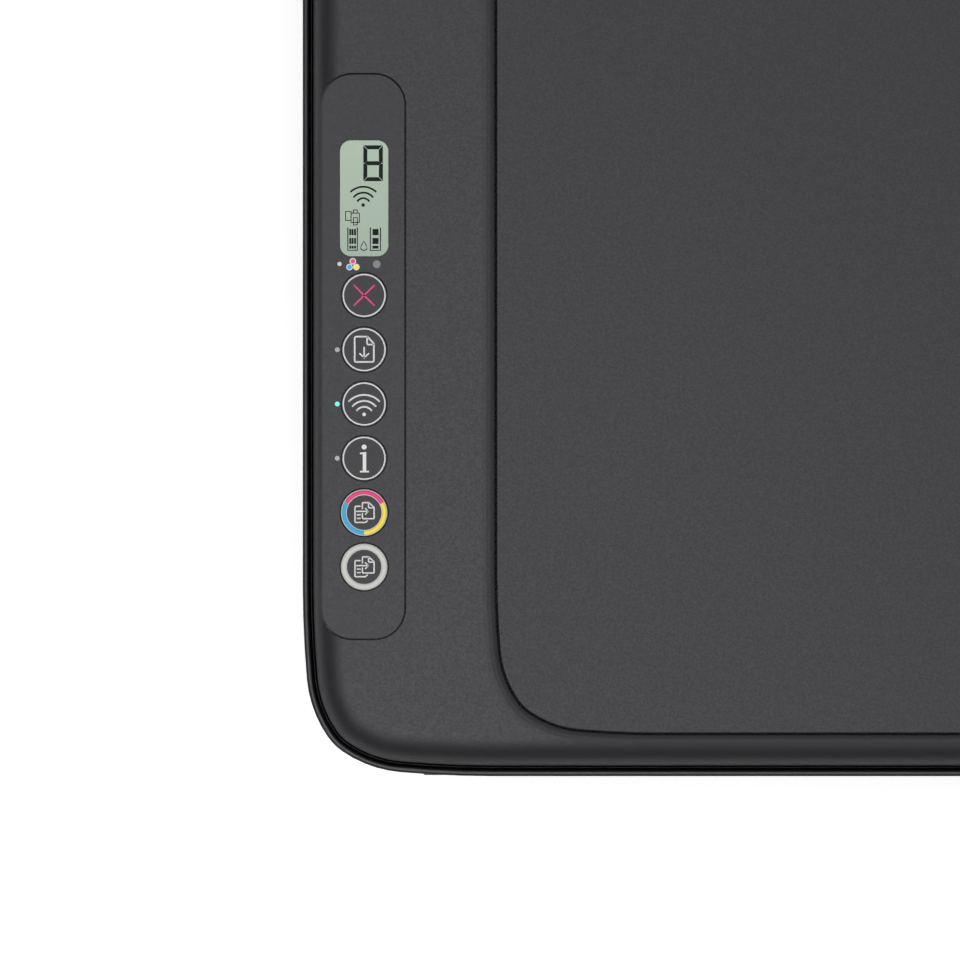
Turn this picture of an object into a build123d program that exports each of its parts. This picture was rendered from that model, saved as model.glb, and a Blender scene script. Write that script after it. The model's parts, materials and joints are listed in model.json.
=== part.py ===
"""Compact all-in-one inkjet printer, closed and switched off.

X runs to the right, Y to the back and Z up, in millimetres.  The origin is the
centre of the footprint, on the surface that the rubber feet stand on.
The scanner unit, with the lid and the control panel, hinges up off the lower case.
"""

import os
from math import acos, atan2, cos, pi, radians, sin, tan

from build123d import *

# ------------------------------------------------------------------ case sizes
CASE_WIDTH = 425.0
CASE_DEPTH = 304.0
CASE_HEIGHT = 154.0  # to the top of the scanner lid
CASE_CORNER = [(310.0, 5.0), (35.0, 29.5), (17.0, 21.0), (35.0, 29.5), (310.0, 5.0)]
WALL = 2.2
FOOT_HEIGHT = 2.0
PAN_HEIGHT = 14.0
PAN_LEAN = 3.5  # the pan's wall leans in this much towards its floor
CASE_LEAN = 2.5  # the lower case leans in this much from its rim to the pan
RIM_WIDTH = 1.9
MOAT_WIDTH = 1.3  # dark gap between the rim and the scanner unit
MOAT_GROOVE = 1.8  # depth of the V groove in the floor of that gap
SEAM = 0.5  # gap between two covers that meet
RUN = 0.06  # radial clearance of a turning pin
REAR_SPLIT = CASE_DEPTH / 2 - 52  # where the front shell meets the rear housing

# ---------------------------------------------------------- scanner unit sizes
UNIT_HEIGHT = 38.5
UNIT_OVERLAP = 3.5  # the unit's wall reaches this far below the rim's top
UNIT_LIP = 0.45
UNIT_LIP_HEIGHT = 3.0
UNIT_LEAN = 0.15
UNIT_WALL = 2.4
UNIT_ROOF = 3.4
SHOULDER_WIDTH = 8.8
SHOULDER_DROP = 7.0
SHOULDER_STEP = 0.06  # fine step where the shoulder meets the wall
LID_RISE = 1.0  # the lid stands this far above the deck
BED_DEPTH = 9.0  # the scanner bed lies this far below the deck
BED_FLOOR = 4.8
BED_WALL = 2.0
FRAME_BACK = REAR_SPLIT + 1.8
HOUSING_FRONT = REAR_SPLIT + 4.8
HOUSING_WALL = 3.5

# ------------------------------------------------------------------- lid sizes
LID_LEFT = 56.4 - CASE_WIDTH / 2  # each edge keeps its distance from the case side
LID_RIGHT = CASE_WIDTH / 2 - 10.5
LID_FRONT = 12.8 - CASE_DEPTH / 2
LID_BACK = CASE_DEPTH / 2 - 55.2
LID_CORNER = [(260.0, 5.0), (29.5, 29.5), (14.3, 21.0), (29.5, 29.5), (260.0, 5.0)]
LID_REAR_RADIUS = 4.5
LID_SKIN = 2.2
LID_SKIRT = 2.0
LID_GAP = 0.6
GLASS_LEFT = -131.0
GLASS_RIGHT = 177.0
GLASS_FRONT = LID_FRONT + 4.2
GLASS_BACK = GLASS_FRONT + 224.0
GLASS_THICKNESS = 2.8
GLASS_LEDGE = 4.0
MAT_THICKNESS = 2.9

# --------------------------------------------------------- control panel sizes
PANEL_LEFT = 5.6 - CASE_WIDTH / 2
PANEL_RIGHT = PANEL_LEFT + 24.3
PANEL_FRONT = -112.0
PANEL_BACK = 52.0
PANEL_RADIUS = 9.0
PANEL_THICKNESS = 2.0
PANEL_RISE = 0.2
PANEL_LEDGE = 2.6
PANEL_GAP = 0.3
PAD_MARGIN = 0.1  # the raised seat reaches this far round the panel
# the deck rolls down to the lid's seam: distance out from the seam, depth there
SEAM_ROLL = ((0.0, 0.80), (1.2, 0.36), (2.4, 0.10), (3.6, 0.0))
DISPLAY_WIDTH = 14.0
DISPLAY_LENGTH = 33.6
DISPLAY_RADIUS = 3.2
DISPLAY_BACK = 32.7
KEY_X = PANEL_LEFT + 12.4
KEY_PITCH = 15.75
KEY_FIRST_Y = -12.25
KEY_RADIUS = 6.65
COPY_KEY_RADIUS = 7.0
KEY_GAP = 0.15
KEY_TRAVEL = 0.5
LIGHT_RADIUS = 0.7
KEY_NAMES = [
    "cancel_button",
    "resume_button",
    "wireless_button",
    "information_button",
    "colour_copy_button",
    "black_copy_button",
]

# ----------------------------------------------------------- paper path sizes
PAPER_X = -20.0
PAPER_WIDTH = 216.0
PAPER_LEVEL = 40.0
CHUTE_WIDTH = 252.0
CHUTE_ANGLE = 70.0
CHUTE_RADIUS = 34.0
CHUTE_THICKNESS = 2.5
CHUTE_TOP_Y = CASE_DEPTH / 2 - 19
CHUTE_DROP = 10.5  # from the deck down to the chute's top edge
FEED_Y = 22.0
FEED_RADIUS = 6.0
FEED_SHAFT = 4.0
EXIT_RADIUS = 5.0
EXIT_SHAFT = 3.0
PINCH_RADIUS = 3.5
STAR_RADIUS = 5.0
PICKUP_RADIUS = 16.0
MODULE = 0.8
FEED_TEETH = 60
EXIT_TEETH = 50
SMALL_TEETH = 15
GEAR_WIDTH = 6.0
GEAR_LEFT = 12.5 - CASE_WIDTH / 2
MOTOR_DROP = 14.0  # the feed motor's shaft lies this far below the feed roller

# -------------------------------------------------------------- carriage sizes
CARRIAGE_WIDTH = 84.0
CARRIAGE_PARK = CASE_WIDTH / 2 - 54.5
CARRIAGE_TRAVEL = 306.0
ROD_Y = 24.0
ROD_Z = 64.0
ROD_RADIUS = 4.0
RAIL_Y = 40.0
RAIL_THICKNESS = 1.5
BELT_Z = 88.0
BELT_WIDTH = 5.0
BELT_THICKNESS = 1.0
PULLEY_RADIUS = 6.0
PULLEY_GAP = 0.15
PULLEY_RIGHT = CASE_WIDTH / 2 - 22.5
PULLEY_LEFT = 18.5 - CASE_WIDTH / 2
PEN_PITCH = 40.0
PEN_WIDTH = 35.0

# ------------------------------------------------------------------ tray sizes
MOUTH_LEFT = -150.0
MOUTH_RIGHT = 110.0
MOUTH_TOP = 68.0
TRAY_LEVEL = 8.5
TRAY_THICKNESS = 4.0
TRAY_BACK = -12.0
TRAY_TRAVEL = 95.0
EXTENDER_WIDTH = 110.0
EXTENDER_LENGTH = 84.0
EXTENDER_TRAVEL = 70.0
GRIP_X = 23.0
GRIP_WIDTH = 60.0

# ------------------------------------------------------------ derived heights
PAN_BOTTOM = FOOT_HEIGHT
PAN_TOP = PAN_BOTTOM + PAN_HEIGHT
PAN_FLOOR = PAN_BOTTOM + WALL
DECK_TOP = CASE_HEIGHT - LID_RISE
UNIT_BOTTOM = DECK_TOP - UNIT_HEIGHT
RIM_TOP = UNIT_BOTTOM + UNIT_OVERLAP
LEDGE_TOP = UNIT_BOTTOM - 2.5
UNIT_INSET = RIM_WIDTH + MOAT_WIDTH
BED_TOP = DECK_TOP - BED_DEPTH
BED_UNDERSIDE = BED_TOP - BED_FLOOR
SCANNER_FLOOR = UNIT_BOTTOM + 1.5
FEED_Z = PAPER_LEVEL - FEED_RADIUS
EXIT_Z = PAPER_LEVEL - EXIT_RADIUS
BACK = CASE_DEPTH / 2
FRONT = -BACK
RIGHT = CASE_WIDTH / 2
LEFT = -RIGHT

# --------------------------------------------------------- derived hinge lines
DOOR_HINGE_Y = (FRAME_BACK + HOUSING_FRONT) / 2
DOOR_HINGE_RADIUS = 3.0
DOOR_HINGE_Z = DECK_TOP - DOOR_HINGE_RADIUS - 1.5
LID_HINGE_RADIUS = 2.4
LID_HINGE_Y = LID_BACK - 4.8
LID_HINGE_Z = CASE_HEIGHT - 4.8
FLAP_RADIUS = 4.8
FLAP_HINGE_Y = CHUTE_TOP_Y + 3.5
FLAP_HINGE_Z = DECK_TOP - FLAP_RADIUS
FLAP_FRONT = HOUSING_FRONT + HOUSING_WALL + 0.9
FLAP_WIDTH = CHUTE_WIDTH + 2.8
CHUTE_TOP_Z = DECK_TOP - CHUTE_DROP

# ------------------------------------------------------ derived drive geometry
FEED_PITCH = MODULE * FEED_TEETH / 2
EXIT_PITCH = MODULE * EXIT_TEETH / 2
SMALL_PITCH = MODULE * SMALL_TEETH / 2
EXIT_Y = FEED_Y - (FEED_PITCH + 2 * SMALL_PITCH + EXIT_PITCH)
IDLER_SHARE = (FEED_PITCH + SMALL_PITCH) / (FEED_Y - EXIT_Y)
IDLER_Y = FEED_Y + (EXIT_Y - FEED_Y) * IDLER_SHARE
IDLER_Z = FEED_Z + (EXIT_Z - FEED_Z) * IDLER_SHARE
MOTOR_Z = FEED_Z - MOTOR_DROP
MOTOR_Y = FEED_Y + ((FEED_PITCH + SMALL_PITCH) ** 2 - MOTOR_DROP**2) ** 0.5
GEAR_RIGHT = GEAR_LEFT + GEAR_WIDTH
PLATE_LEFT = GEAR_RIGHT + 1.5
PLATE_RIGHT = MOUTH_RIGHT + 1.5
PLATE_THICKNESS = 2.0
NOZZLE_Z = PAPER_LEVEL + 1.5
CARRIAGE_FLOOR = PAPER_LEVEL + 3.0

SCAN_ROD_Y = -20.0
SCAN_ROD_RADIUS = 3.0
SCAN_ROD_Z = SCANNER_FLOOR + 7.0
SCAN_BELT_Y = -6.0
SCAN_PULLEY_RADIUS = 5.0
SCAN_BELT_THICKNESS = 0.8
SCAN_BELT_BOTTOM = SCANNER_FLOOR + 4.0
SCAN_BELT_WIDTH = 5.0
SCAN_HEAD_X = -117.0
SCAN_HEAD_WIDTH = 18.0
SCAN_TRAVEL = 280.0
SCAN_PULLEY_RIGHT = RIGHT - 24.5
SCAN_PULLEY_LEFT = -142.0

FOOT_PLACES = [(x, y) for x in (34.5 - CASE_WIDTH / 2, CASE_WIDTH / 2 - 34.5) for y in (30 - CASE_DEPTH / 2, CASE_DEPTH / 2 - 30)]
FOOT_RADIUS = 9.0
SCREW_PLACES = [(x, y) for x in (13.5 - CASE_WIDTH / 2, CASE_WIDTH / 2 - 13.5) for y in (-70.0, 66.0)]
SCREW_HEAD = 3.2
SCREW_SHANK = 1.4

TURN = {"x": (0, 90, 0), "y": (90, 0, 0), "z": (0, 0, 0)}
pieces = []


# -------------------------------------------------------------------- helpers
def keep(builder, label):
    """Labels a finished piece and puts it on the list of files to write."""
    builder.part.label = label
    pieces.append(builder.part)


def block(x, y, z, mode=Mode.ADD):
    """Box between the two values given for each of x, y and z."""
    with Locations(((x[0] + x[1]) / 2, (y[0] + y[1]) / 2, (z[0] + z[1]) / 2)):
        Box(x[1] - x[0], y[1] - y[0], z[1] - z[0], mode=mode)


def rod(axis, radius, span, at, mode=Mode.ADD):
    """Cylinder along an axis over a span; at holds its two other coordinates."""
    middle = (span[0] + span[1]) / 2
    centre = {"x": (middle, *at), "y": (at[0], middle, at[1]), "z": (*at, middle)}[axis]
    with Locations(Location(centre, TURN[axis])):
        Cylinder(radius, span[1] - span[0], mode=mode)


def corner_run(arcs):
    """How far a compound corner reaches along each of its two sides."""
    run, heading = 0.0, 0.0
    for radius, turn in arcs:
        run += radius * (sin(radians(heading + turn)) - sin(radians(heading)))
        heading += turn
    return run


def soft_rectangle(width, depth, arcs, inset, plane):
    """Rectangle with compound-arc corners, moved inwards by inset."""
    with BuildSketch(plane) as outline:
        with BuildLine():
            side = Line((inset - width / 2, 0), (inset - width / 2, corner_run(arcs) - depth / 2))
            for radius, turn in arcs:
                side = JernArc(side @ 1, side % 1, radius - inset, turn)
            Line(side @ 1, (0, inset - depth / 2))
            mirror(about=Plane.YZ)
            mirror(about=Plane.XZ)
        make_face()
    return outline.sketch


def case_outline(inset, z):
    """Plan of the case at height z."""
    return soft_rectangle(CASE_WIDTH, CASE_DEPTH, CASE_CORNER, inset, Plane.XY.offset(z))


def lid_outline(inset, z):
    """Plan of the lid at height z: soft corners in front, nearly square ones beside the hinge."""
    middle_x = (LID_LEFT + LID_RIGHT) / 2
    middle_y = (LID_FRONT + LID_BACK) / 2
    soft = soft_rectangle(LID_RIGHT - LID_LEFT, LID_BACK - LID_FRONT, LID_CORNER, inset, Plane.XY)
    with BuildSketch(Plane.XY.offset(z)) as outline:
        with Locations((middle_x, middle_y)):
            add(soft)
        with Locations((middle_x, (middle_y + LID_BACK - inset) / 2)):
            Rectangle(LID_RIGHT - LID_LEFT - 2 * inset, LID_BACK - inset - middle_y)
        rear_corners = outline.vertices().group_by(Axis.Y)[-1]
        fillet(rear_corners, max(LID_REAR_RADIUS - inset, 0.8))
    return outline.sketch


def panel_outline(grow, z):
    """Plan of the control panel at height z."""
    with BuildSketch(Plane.XY.offset(z)) as outline:
        with Locations(((PANEL_LEFT + PANEL_RIGHT) / 2, (PANEL_FRONT + PANEL_BACK) / 2)):
            RectangleRounded(
                PANEL_RIGHT - PANEL_LEFT + 2 * grow,
                PANEL_BACK - PANEL_FRONT + 2 * grow,
                PANEL_RADIUS + grow,
            )
    return outline.sketch


def case_lean(z):
    """How far the lower case's outside stands in from the full outline at height z."""
    return CASE_LEAN * (RIM_TOP - z) / (RIM_TOP - PAN_TOP)


def lower_block(inset, bottom, top):
    """Solid that fills the lower case from bottom to top, moved inwards by inset."""
    with BuildPart() as filled:
        loft(
            [case_outline(inset + case_lean(bottom), bottom), case_outline(inset + case_lean(top), top)],
            ruled=True,
        )
    return filled.part


def shoulder_ring(inset):
    """Ring to cut away, which leaves an elliptical shoulder round the deck."""
    start = UNIT_INSET + UNIT_LIP + UNIT_LEAN + inset
    width = SHOULDER_WIDTH - inset
    across = Plane(origin=(start - CASE_WIDTH / 2, 0, DECK_TOP), x_dir=(1, 0, 0), z_dir=(0, -1, 0))
    with BuildPart() as ring:
        with BuildSketch(across) as section:
            with BuildLine():
                EllipticalCenterArc(
                    (width, -SHOULDER_DROP),
                    width - SHOULDER_STEP,
                    SHOULDER_DROP,
                    start_angle=90,
                    arc_size=90,
                )
                Polyline(
                    (SHOULDER_STEP, -SHOULDER_DROP),
                    (-3, -SHOULDER_DROP),
                    (-3, 2),
                    (width, 2),
                    (width, 0),
                )
            make_face()
        sweep(section.sketch, path=case_outline(start, DECK_TOP).face().outer_wire())
    return ring.part


def upper_block(inset, bottom, top, shoulder=False):
    """Solid that fills the upper case, with a leaning wall and, if asked, its shoulder."""
    lean = UNIT_LEAN / UNIT_HEIGHT
    start = UNIT_INSET + UNIT_LIP + inset
    with BuildPart() as filled:
        loft(
            [
                case_outline(start + lean * (bottom - UNIT_BOTTOM), bottom),
                case_outline(start + lean * (top - UNIT_BOTTOM), top),
            ],
            ruled=True,
        )
        if shoulder:
            add(shoulder_ring(inset), mode=Mode.SUBTRACT)
    return filled.part


def half_space(y, behind):
    """Large box that holds everything in front of y, or behind it."""
    far = CASE_DEPTH
    span = (y, y + far) if behind else (y - far, y)
    with BuildPart() as half:
        block((-CASE_WIDTH, CASE_WIDTH), span, (-CASE_HEIGHT, 2 * CASE_HEIGHT))
    return half.part


def gear_outline(teeth, turn, plane):
    """Involute spur gear with the middle of one tooth at the angle turn, in radians."""
    pressure, backlash = radians(20), 0.12
    pitch = MODULE * teeth / 2
    base, tip, root = pitch * cos(pressure), pitch + 0.9 * MODULE, pitch - 1.25 * MODULE
    half = pi / (2 * teeth) - backlash / (2 * pitch) + tan(pressure) - pressure
    foot = max(base, root)
    flank = [foot + (tip - foot) * share for share in (0.0, 0.4, 1.0)]
    side = [(root, half)] if root < base else []
    side += [(r, half - (tan(acos(base / r)) - acos(base / r))) for r in flank]
    points = []
    for tooth in range(teeth):
        middle = turn + 2 * pi * tooth / teeth
        rising = [(r, middle - a) for r, a in side]
        falling = [(r, middle + a) for r, a in reversed(side)]
        points += [(r * cos(a), r * sin(a)) for r, a in rising + falling]
    with BuildSketch(plane) as outline:
        with BuildLine():
            Polyline(*points, close=True)
        make_face()
    return outline.sketch


def mesh_turn(teeth, partner_teeth, partner_turn, direction):
    """Angle of a tooth that puts a gear in mesh; direction runs from its partner to it."""
    phase = (direction - partner_turn) * partner_teeth / (2 * pi)
    return direction + pi - (0.5 - phase) * 2 * pi / teeth


def slope_plane(x):
    """Plane across X whose local x runs down the chute and whose local -y stands off it."""
    down = (0, -cos(radians(CHUTE_ANGLE)), -sin(radians(CHUTE_ANGLE)))
    return Plane(origin=(x, CHUTE_TOP_Y, CHUTE_TOP_Z), x_dir=down, z_dir=(1, 0, 0))


# ================================================================= lower case
with BuildPart() as base_pan:
    pan_inset = CASE_LEAN + PAN_LEAN
    loft([case_outline(pan_inset, PAN_BOTTOM), case_outline(CASE_LEAN, PAN_TOP)], ruled=True)
    fillet(base_pan.faces().sort_by(Axis.Z)[0].edges(), 1.5)
    loft(
        [case_outline(pan_inset + WALL, PAN_FLOOR), case_outline(CASE_LEAN + WALL, PAN_TOP)],
        ruled=True,
        mode=Mode.SUBTRACT,
    )
    # mouth of the output tray
    block((MOUTH_LEFT, MOUTH_RIGHT), (FRONT - 5, FRONT + 20), (TRAY_LEVEL - 1.5, PAN_TOP + 5), Mode.SUBTRACT)
    # runners beside and under the output tray
    for x in (MOUTH_LEFT, MOUTH_RIGHT - 3.0):
        block((x, x + 3.0), (FRONT + 12, TRAY_BACK), (PAN_FLOOR, PAN_TOP + 4))
    for x in (-110.0, -20.0, 70.0):
        block((x - 2, x + 2), (FRONT + 12, TRAY_BACK), (PAN_FLOOR, TRAY_LEVEL - 0.4))
    # wells for the feet and screws
    with Locations(*[(x, y, PAN_BOTTOM) for x, y in FOOT_PLACES]):
        Cylinder(FOOT_RADIUS + 2, 5, align=(Align.CENTER, Align.CENTER, Align.MIN))
        Cylinder(FOOT_RADIUS, 3, mode=Mode.SUBTRACT)
    with Locations(*[(x, y, PAN_BOTTOM) for x, y in SCREW_PLACES]):
        Cylinder(5.0, PAN_HEIGHT - 0.5, align=(Align.CENTER, Align.CENTER, Align.MIN))
        Cylinder(SCREW_HEAD + 0.4, 5, mode=Mode.SUBTRACT)
        Cylinder(SCREW_SHANK + 0.3, 3 * PAN_HEIGHT, mode=Mode.SUBTRACT)
keep(base_pan, "base_pan")

# outside and inside of the lower case, shared by the front shell and the rear housing
lower_outside = lower_block(0, PAN_TOP, RIM_TOP)
lower_inside = lower_block(WALL, PAN_TOP - 1, LEDGE_TOP - 2)
moat_inside = upper_block(-UNIT_LIP - MOAT_WIDTH, LEDGE_TOP, RIM_TOP + 5)
ledge_window = upper_block(UNIT_WALL + 4.5, LEDGE_TOP - 5, RIM_TOP + 5)

with BuildPart() as body_shell:
    add(lower_outside)
    fillet(body_shell.faces().sort_by(Axis.Z)[-1].edges(), RIM_WIDTH * 0.45)
    add(lower_inside, mode=Mode.SUBTRACT)
    add(moat_inside, mode=Mode.SUBTRACT)
    # V groove in the floor of the gap, which keeps drips and light out
    groove_foot = LEDGE_TOP - MOAT_GROOVE
    with BuildPart(mode=Mode.PRIVATE) as groove:
        loft([case_outline(RIM_WIDTH, LEDGE_TOP), case_outline(RIM_WIDTH + 0.55, groove_foot)], ruled=True)
        loft(
            [case_outline(UNIT_INSET, LEDGE_TOP), case_outline(RIM_WIDTH + 0.7, groove_foot)],
            ruled=True,
            mode=Mode.SUBTRACT,
        )
    add(groove.part, mode=Mode.SUBTRACT)
    fillet(body_shell.faces().sort_by(Axis.Z)[-1].inner_wires()[0].edges(), RIM_WIDTH * 0.4)
    add(ledge_window, mode=Mode.SUBTRACT)
    add(half_space(REAR_SPLIT, True), mode=Mode.SUBTRACT)
    # mouth over the output tray, with a roof and two cheeks inside
    block((MOUTH_LEFT, MOUTH_RIGHT), (FRONT + 2, FRONT + 90), (MOUTH_TOP, MOUTH_TOP + WALL))
    for x in (MOUTH_LEFT - WALL, MOUTH_RIGHT):
        block((x, x + WALL), (FRONT + 2, FRONT + 90), (PAN_TOP + 6, MOUTH_TOP + WALL))
    with BuildSketch(Plane.XZ.offset(-FRONT - 20)):
        with Locations(((MOUTH_LEFT + MOUTH_RIGHT) / 2, (PAN_TOP - 20 + MOUTH_TOP) / 2)):
            RectangleRounded(MOUTH_RIGHT - MOUTH_LEFT, MOUTH_TOP - PAN_TOP + 20, 7)
    extrude(amount=30, mode=Mode.SUBTRACT)
    # finger gap under the front edge of the scanner unit
    with BuildSketch(Plane.XZ.offset(-FRONT - 16)):
        with Locations((GRIP_X, RIM_TOP)):
            RectangleRounded(GRIP_WIDTH, 24, 6)
    extrude(amount=20, mode=Mode.SUBTRACT)
    # posts for the case screws
    for x, y in SCREW_PLACES:
        rod("z", 4.2, (PAN_TOP, PAN_TOP + 22), (x, y))
        wall_x = (RIGHT - CASE_LEAN - WALL / 2) * (1 if x > 0 else -1)
        block(sorted((x, wall_x)), (y - 1.2, y + 1.2), (PAN_TOP, PAN_TOP + 22))
        rod("z", SCREW_SHANK, (PAN_TOP - 1, PAN_TOP + 12), (x, y), Mode.SUBTRACT)
    # hole for the power button
    POWER_X, POWER_Z, POWER_RADIUS = LEFT + 40.5, 92.0, 5.5
    rod("y", POWER_RADIUS + 0.2, (FRONT - 2, FRONT + 8), (POWER_X, POWER_Z), Mode.SUBTRACT)
keep(body_shell, "body_shell")

CHUTE_LEFT = PAPER_X - CHUTE_WIDTH / 2
CHUTE_RIGHT = PAPER_X + CHUTE_WIDTH / 2
CHEEK = 2.6
FLAP_LEFT = PAPER_X - FLAP_WIDTH / 2
FLAP_RIGHT = PAPER_X + FLAP_WIDTH / 2
INLET_X, INLET_Z = LEFT + 32.5, 30.0
USB_X, USB_Z = RIGHT - 62.5, 21.5
HINGE_PLACES = (LEFT + 52.5, RIGHT - 52.5)
KNUCKLE = 8.0

with BuildPart() as rear_housing:
    add(lower_outside)
    fillet(rear_housing.faces().sort_by(Axis.Z)[-1].edges(), RIM_WIDTH * 0.45)
    add(lower_inside, mode=Mode.SUBTRACT)
    add(moat_inside, mode=Mode.SUBTRACT)
    add(upper_block(0, LEDGE_TOP - 2, DECK_TOP, shoulder=True))
    add(upper_block(UNIT_WALL, LEDGE_TOP - 10, DECK_TOP - UNIT_ROOF), mode=Mode.SUBTRACT)
    add(half_space(REAR_SPLIT + SEAM, False), mode=Mode.SUBTRACT)
    # the part above the ledge starts behind the scanner unit, with its own front wall
    block((LEFT, RIGHT), (REAR_SPLIT, HOUSING_FRONT), (LEDGE_TOP, CASE_HEIGHT + 5), Mode.SUBTRACT)
    front_wall = LEDGE_TOP - 2
    with BuildPart(mode=Mode.PRIVATE) as wall_stock:
        block(
            (LEFT, RIGHT),
            (HOUSING_FRONT, HOUSING_FRONT + HOUSING_WALL),
            (front_wall, CASE_HEIGHT),
        )
        add(
            upper_block(UNIT_WALL / 2, front_wall - 5, DECK_TOP - UNIT_WALL / 2),
            mode=Mode.INTERSECT,
        )
    add(wall_stock.part)
    # paper slot under the flap
    block(
        (FLAP_LEFT - SEAM, FLAP_RIGHT + SEAM),
        (FLAP_FRONT - SEAM, FLAP_HINGE_Y + FLAP_RADIUS + 1.1),
        (DECK_TOP - UNIT_ROOF - 1, CASE_HEIGHT + 1),
        Mode.SUBTRACT,
    )
    # rest for the open flap, behind the slot
    block(
        (FLAP_LEFT - SEAM, FLAP_RIGHT + SEAM),
        (FLAP_HINGE_Y + FLAP_RADIUS, FLAP_HINGE_Y + FLAP_RADIUS + 1.8),
        (DECK_TOP - 2.4, CASE_HEIGHT + 1),
        Mode.SUBTRACT,
    )
    # ears for the flap's hinge
    for x in (FLAP_LEFT - SEAM - 4, FLAP_RIGHT + SEAM):
        block(
            (x, x + 4),
            (FLAP_HINGE_Y - 4.5, FLAP_HINGE_Y + 4.5),
            (FLAP_HINGE_Z - 4.5, DECK_TOP - UNIT_ROOF + 0.5),
        )
    flap_pin = (FLAP_LEFT - SEAM - 4, FLAP_RIGHT + SEAM + 4)
    rod("x", 2 + RUN, flap_pin, (FLAP_HINGE_Y, FLAP_HINGE_Z), Mode.SUBTRACT)
    # door hinge: a groove for the knuckles and the middle knuckle of each hinge
    for x in HINGE_PLACES:
        hinge = (x - 1.5 * KNUCKLE - SEAM, x + 1.5 * KNUCKLE + SEAM)
        rod("x", DOOR_HINGE_RADIUS + 0.3, hinge, (DOOR_HINGE_Y, DOOR_HINGE_Z), Mode.SUBTRACT)
        middle = (x - KNUCKLE / 2, x + KNUCKLE / 2)
        rod("x", DOOR_HINGE_RADIUS, middle, (DOOR_HINGE_Y, DOOR_HINGE_Z))
        block(
            middle,
            (DOOR_HINGE_Y, HOUSING_FRONT + HOUSING_WALL),
            (DOOR_HINGE_Z - 2.2, DOOR_HINGE_Z + 2.2),
        )
        rod("x", 1.4 - RUN, hinge, (DOOR_HINGE_Y, DOOR_HINGE_Z), Mode.SUBTRACT)
    # windows for the power inlet and the data socket
    block((INLET_X - 10.2, INLET_X + 10.2), (BACK - 10, BACK + 5), (INLET_Z - 7.2, INLET_Z + 7.2), Mode.SUBTRACT)
    block((USB_X - 6.2, USB_X + 6.2), (BACK - 10, BACK + 5), (USB_Z - 5.7, USB_Z + 5.7), Mode.SUBTRACT)
keep(rear_housing, "rear_housing")

with BuildPart() as rubber_feet:
    with Locations(*[(x, y, 0) for x, y in FOOT_PLACES]):
        Cylinder(FOOT_RADIUS - 0.1, PAN_BOTTOM + 1.4, align=(Align.CENTER, Align.CENTER, Align.MIN))
    fillet(rubber_feet.faces().group_by(Axis.Z)[0].edges(), 0.6)
keep(rubber_feet, "rubber_feet")

with BuildPart() as case_screws:
    head_seat = PAN_BOTTOM + 2.5
    with Locations(*[(x, y, head_seat) for x, y in SCREW_PLACES]):
        Cylinder(SCREW_HEAD, 2.0, align=(Align.CENTER, Align.CENTER, Align.MAX))
        Cylinder(SCREW_SHANK - RUN, PAN_TOP + 11 - head_seat, align=(Align.CENTER, Align.CENTER, Align.MIN))
    with Locations(*[(x, y, head_seat - 2.0) for x, y in SCREW_PLACES]):
        Box(3.4, 0.8, 1.6, mode=Mode.SUBTRACT)
        Box(0.8, 3.4, 1.6, mode=Mode.SUBTRACT)
keep(case_screws, "case_screws")

with BuildPart() as door_hinge_pins:
    for x in HINGE_PLACES:
        rod("x", 1.4 - RUN, (x - 1.5 * KNUCKLE, x + 1.5 * KNUCKLE), (DOOR_HINGE_Y, DOOR_HINGE_Z))
keep(door_hinge_pins, "door_hinge_pins")

with BuildPart() as power_supply:
    block((LEFT + 12.5, LEFT + 62.5), (BACK - 76, BACK - 16), (PAN_BOTTOM + 5.1, 42))
    fillet(power_supply.edges().filter_by(Axis.Z), 2)
keep(power_supply, "power_supply")

with BuildPart() as power_inlet:
    block((INLET_X - 10, INLET_X + 10), (136, BACK - 2.6), (INLET_Z - 7, INLET_Z + 7))
    with BuildSketch(Plane.XZ.offset(-(BACK - 2.6))):
        with Locations((INLET_X, INLET_Z)):
            with Locations((-4.0, 0), (4.0, 0)):
                Circle(4.2)
            Rectangle(8.0, 6.4)
    extrude(amount=11, mode=Mode.SUBTRACT)
    for x in (INLET_X - 4.3, INLET_X + 4.3):
        rod("y", 1.18, (137, BACK - 4), (x, INLET_Z))
keep(power_inlet, "power_inlet")

BOARD_Z = 14.0
BOARD_RIGHT = RIGHT - 22.5
with BuildPart() as main_board:
    block((BOARD_RIGHT - 82, BOARD_RIGHT), (62, BACK - 10), (BOARD_Z, BOARD_Z + 1.6))
    block((USB_X - 6, USB_X + 6), (132, BACK - 3.2), (USB_Z - 5.5, USB_Z + 5.5))
    block((USB_X - 6, USB_X + 6), (132, 142), (BOARD_Z + 1, USB_Z))
    block((USB_X - 4.2, USB_X + 4.2), (140, BACK), (USB_Z - 3.8, USB_Z + 3.8), Mode.SUBTRACT)
    block((USB_X - 2.8, USB_X + 2.8), (138, BACK - 4.5), (USB_Z - 1.6, USB_Z + 1.6))
    block((BOARD_RIGHT - 64, BOARD_RIGHT - 42), (84, 106), (BOARD_Z + 1, BOARD_Z + 3))
    block((BOARD_RIGHT - 30, BOARD_RIGHT - 18), (80, 96), (BOARD_Z + 1, BOARD_Z + 2.8))
    for x in (BOARD_RIGHT - 74, BOARD_RIGHT - 56, BOARD_RIGHT - 38):
        block((x, x + 14), (66, 71), (BOARD_Z + 1, BOARD_Z + 7))
    for x in (BOARD_RIGHT - 34, BOARD_RIGHT - 22, BOARD_RIGHT - 10):
        rod("z", 4, (BOARD_Z + 1, BOARD_Z + 14), (x, 124))
keep(main_board, "main_board")

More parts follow.
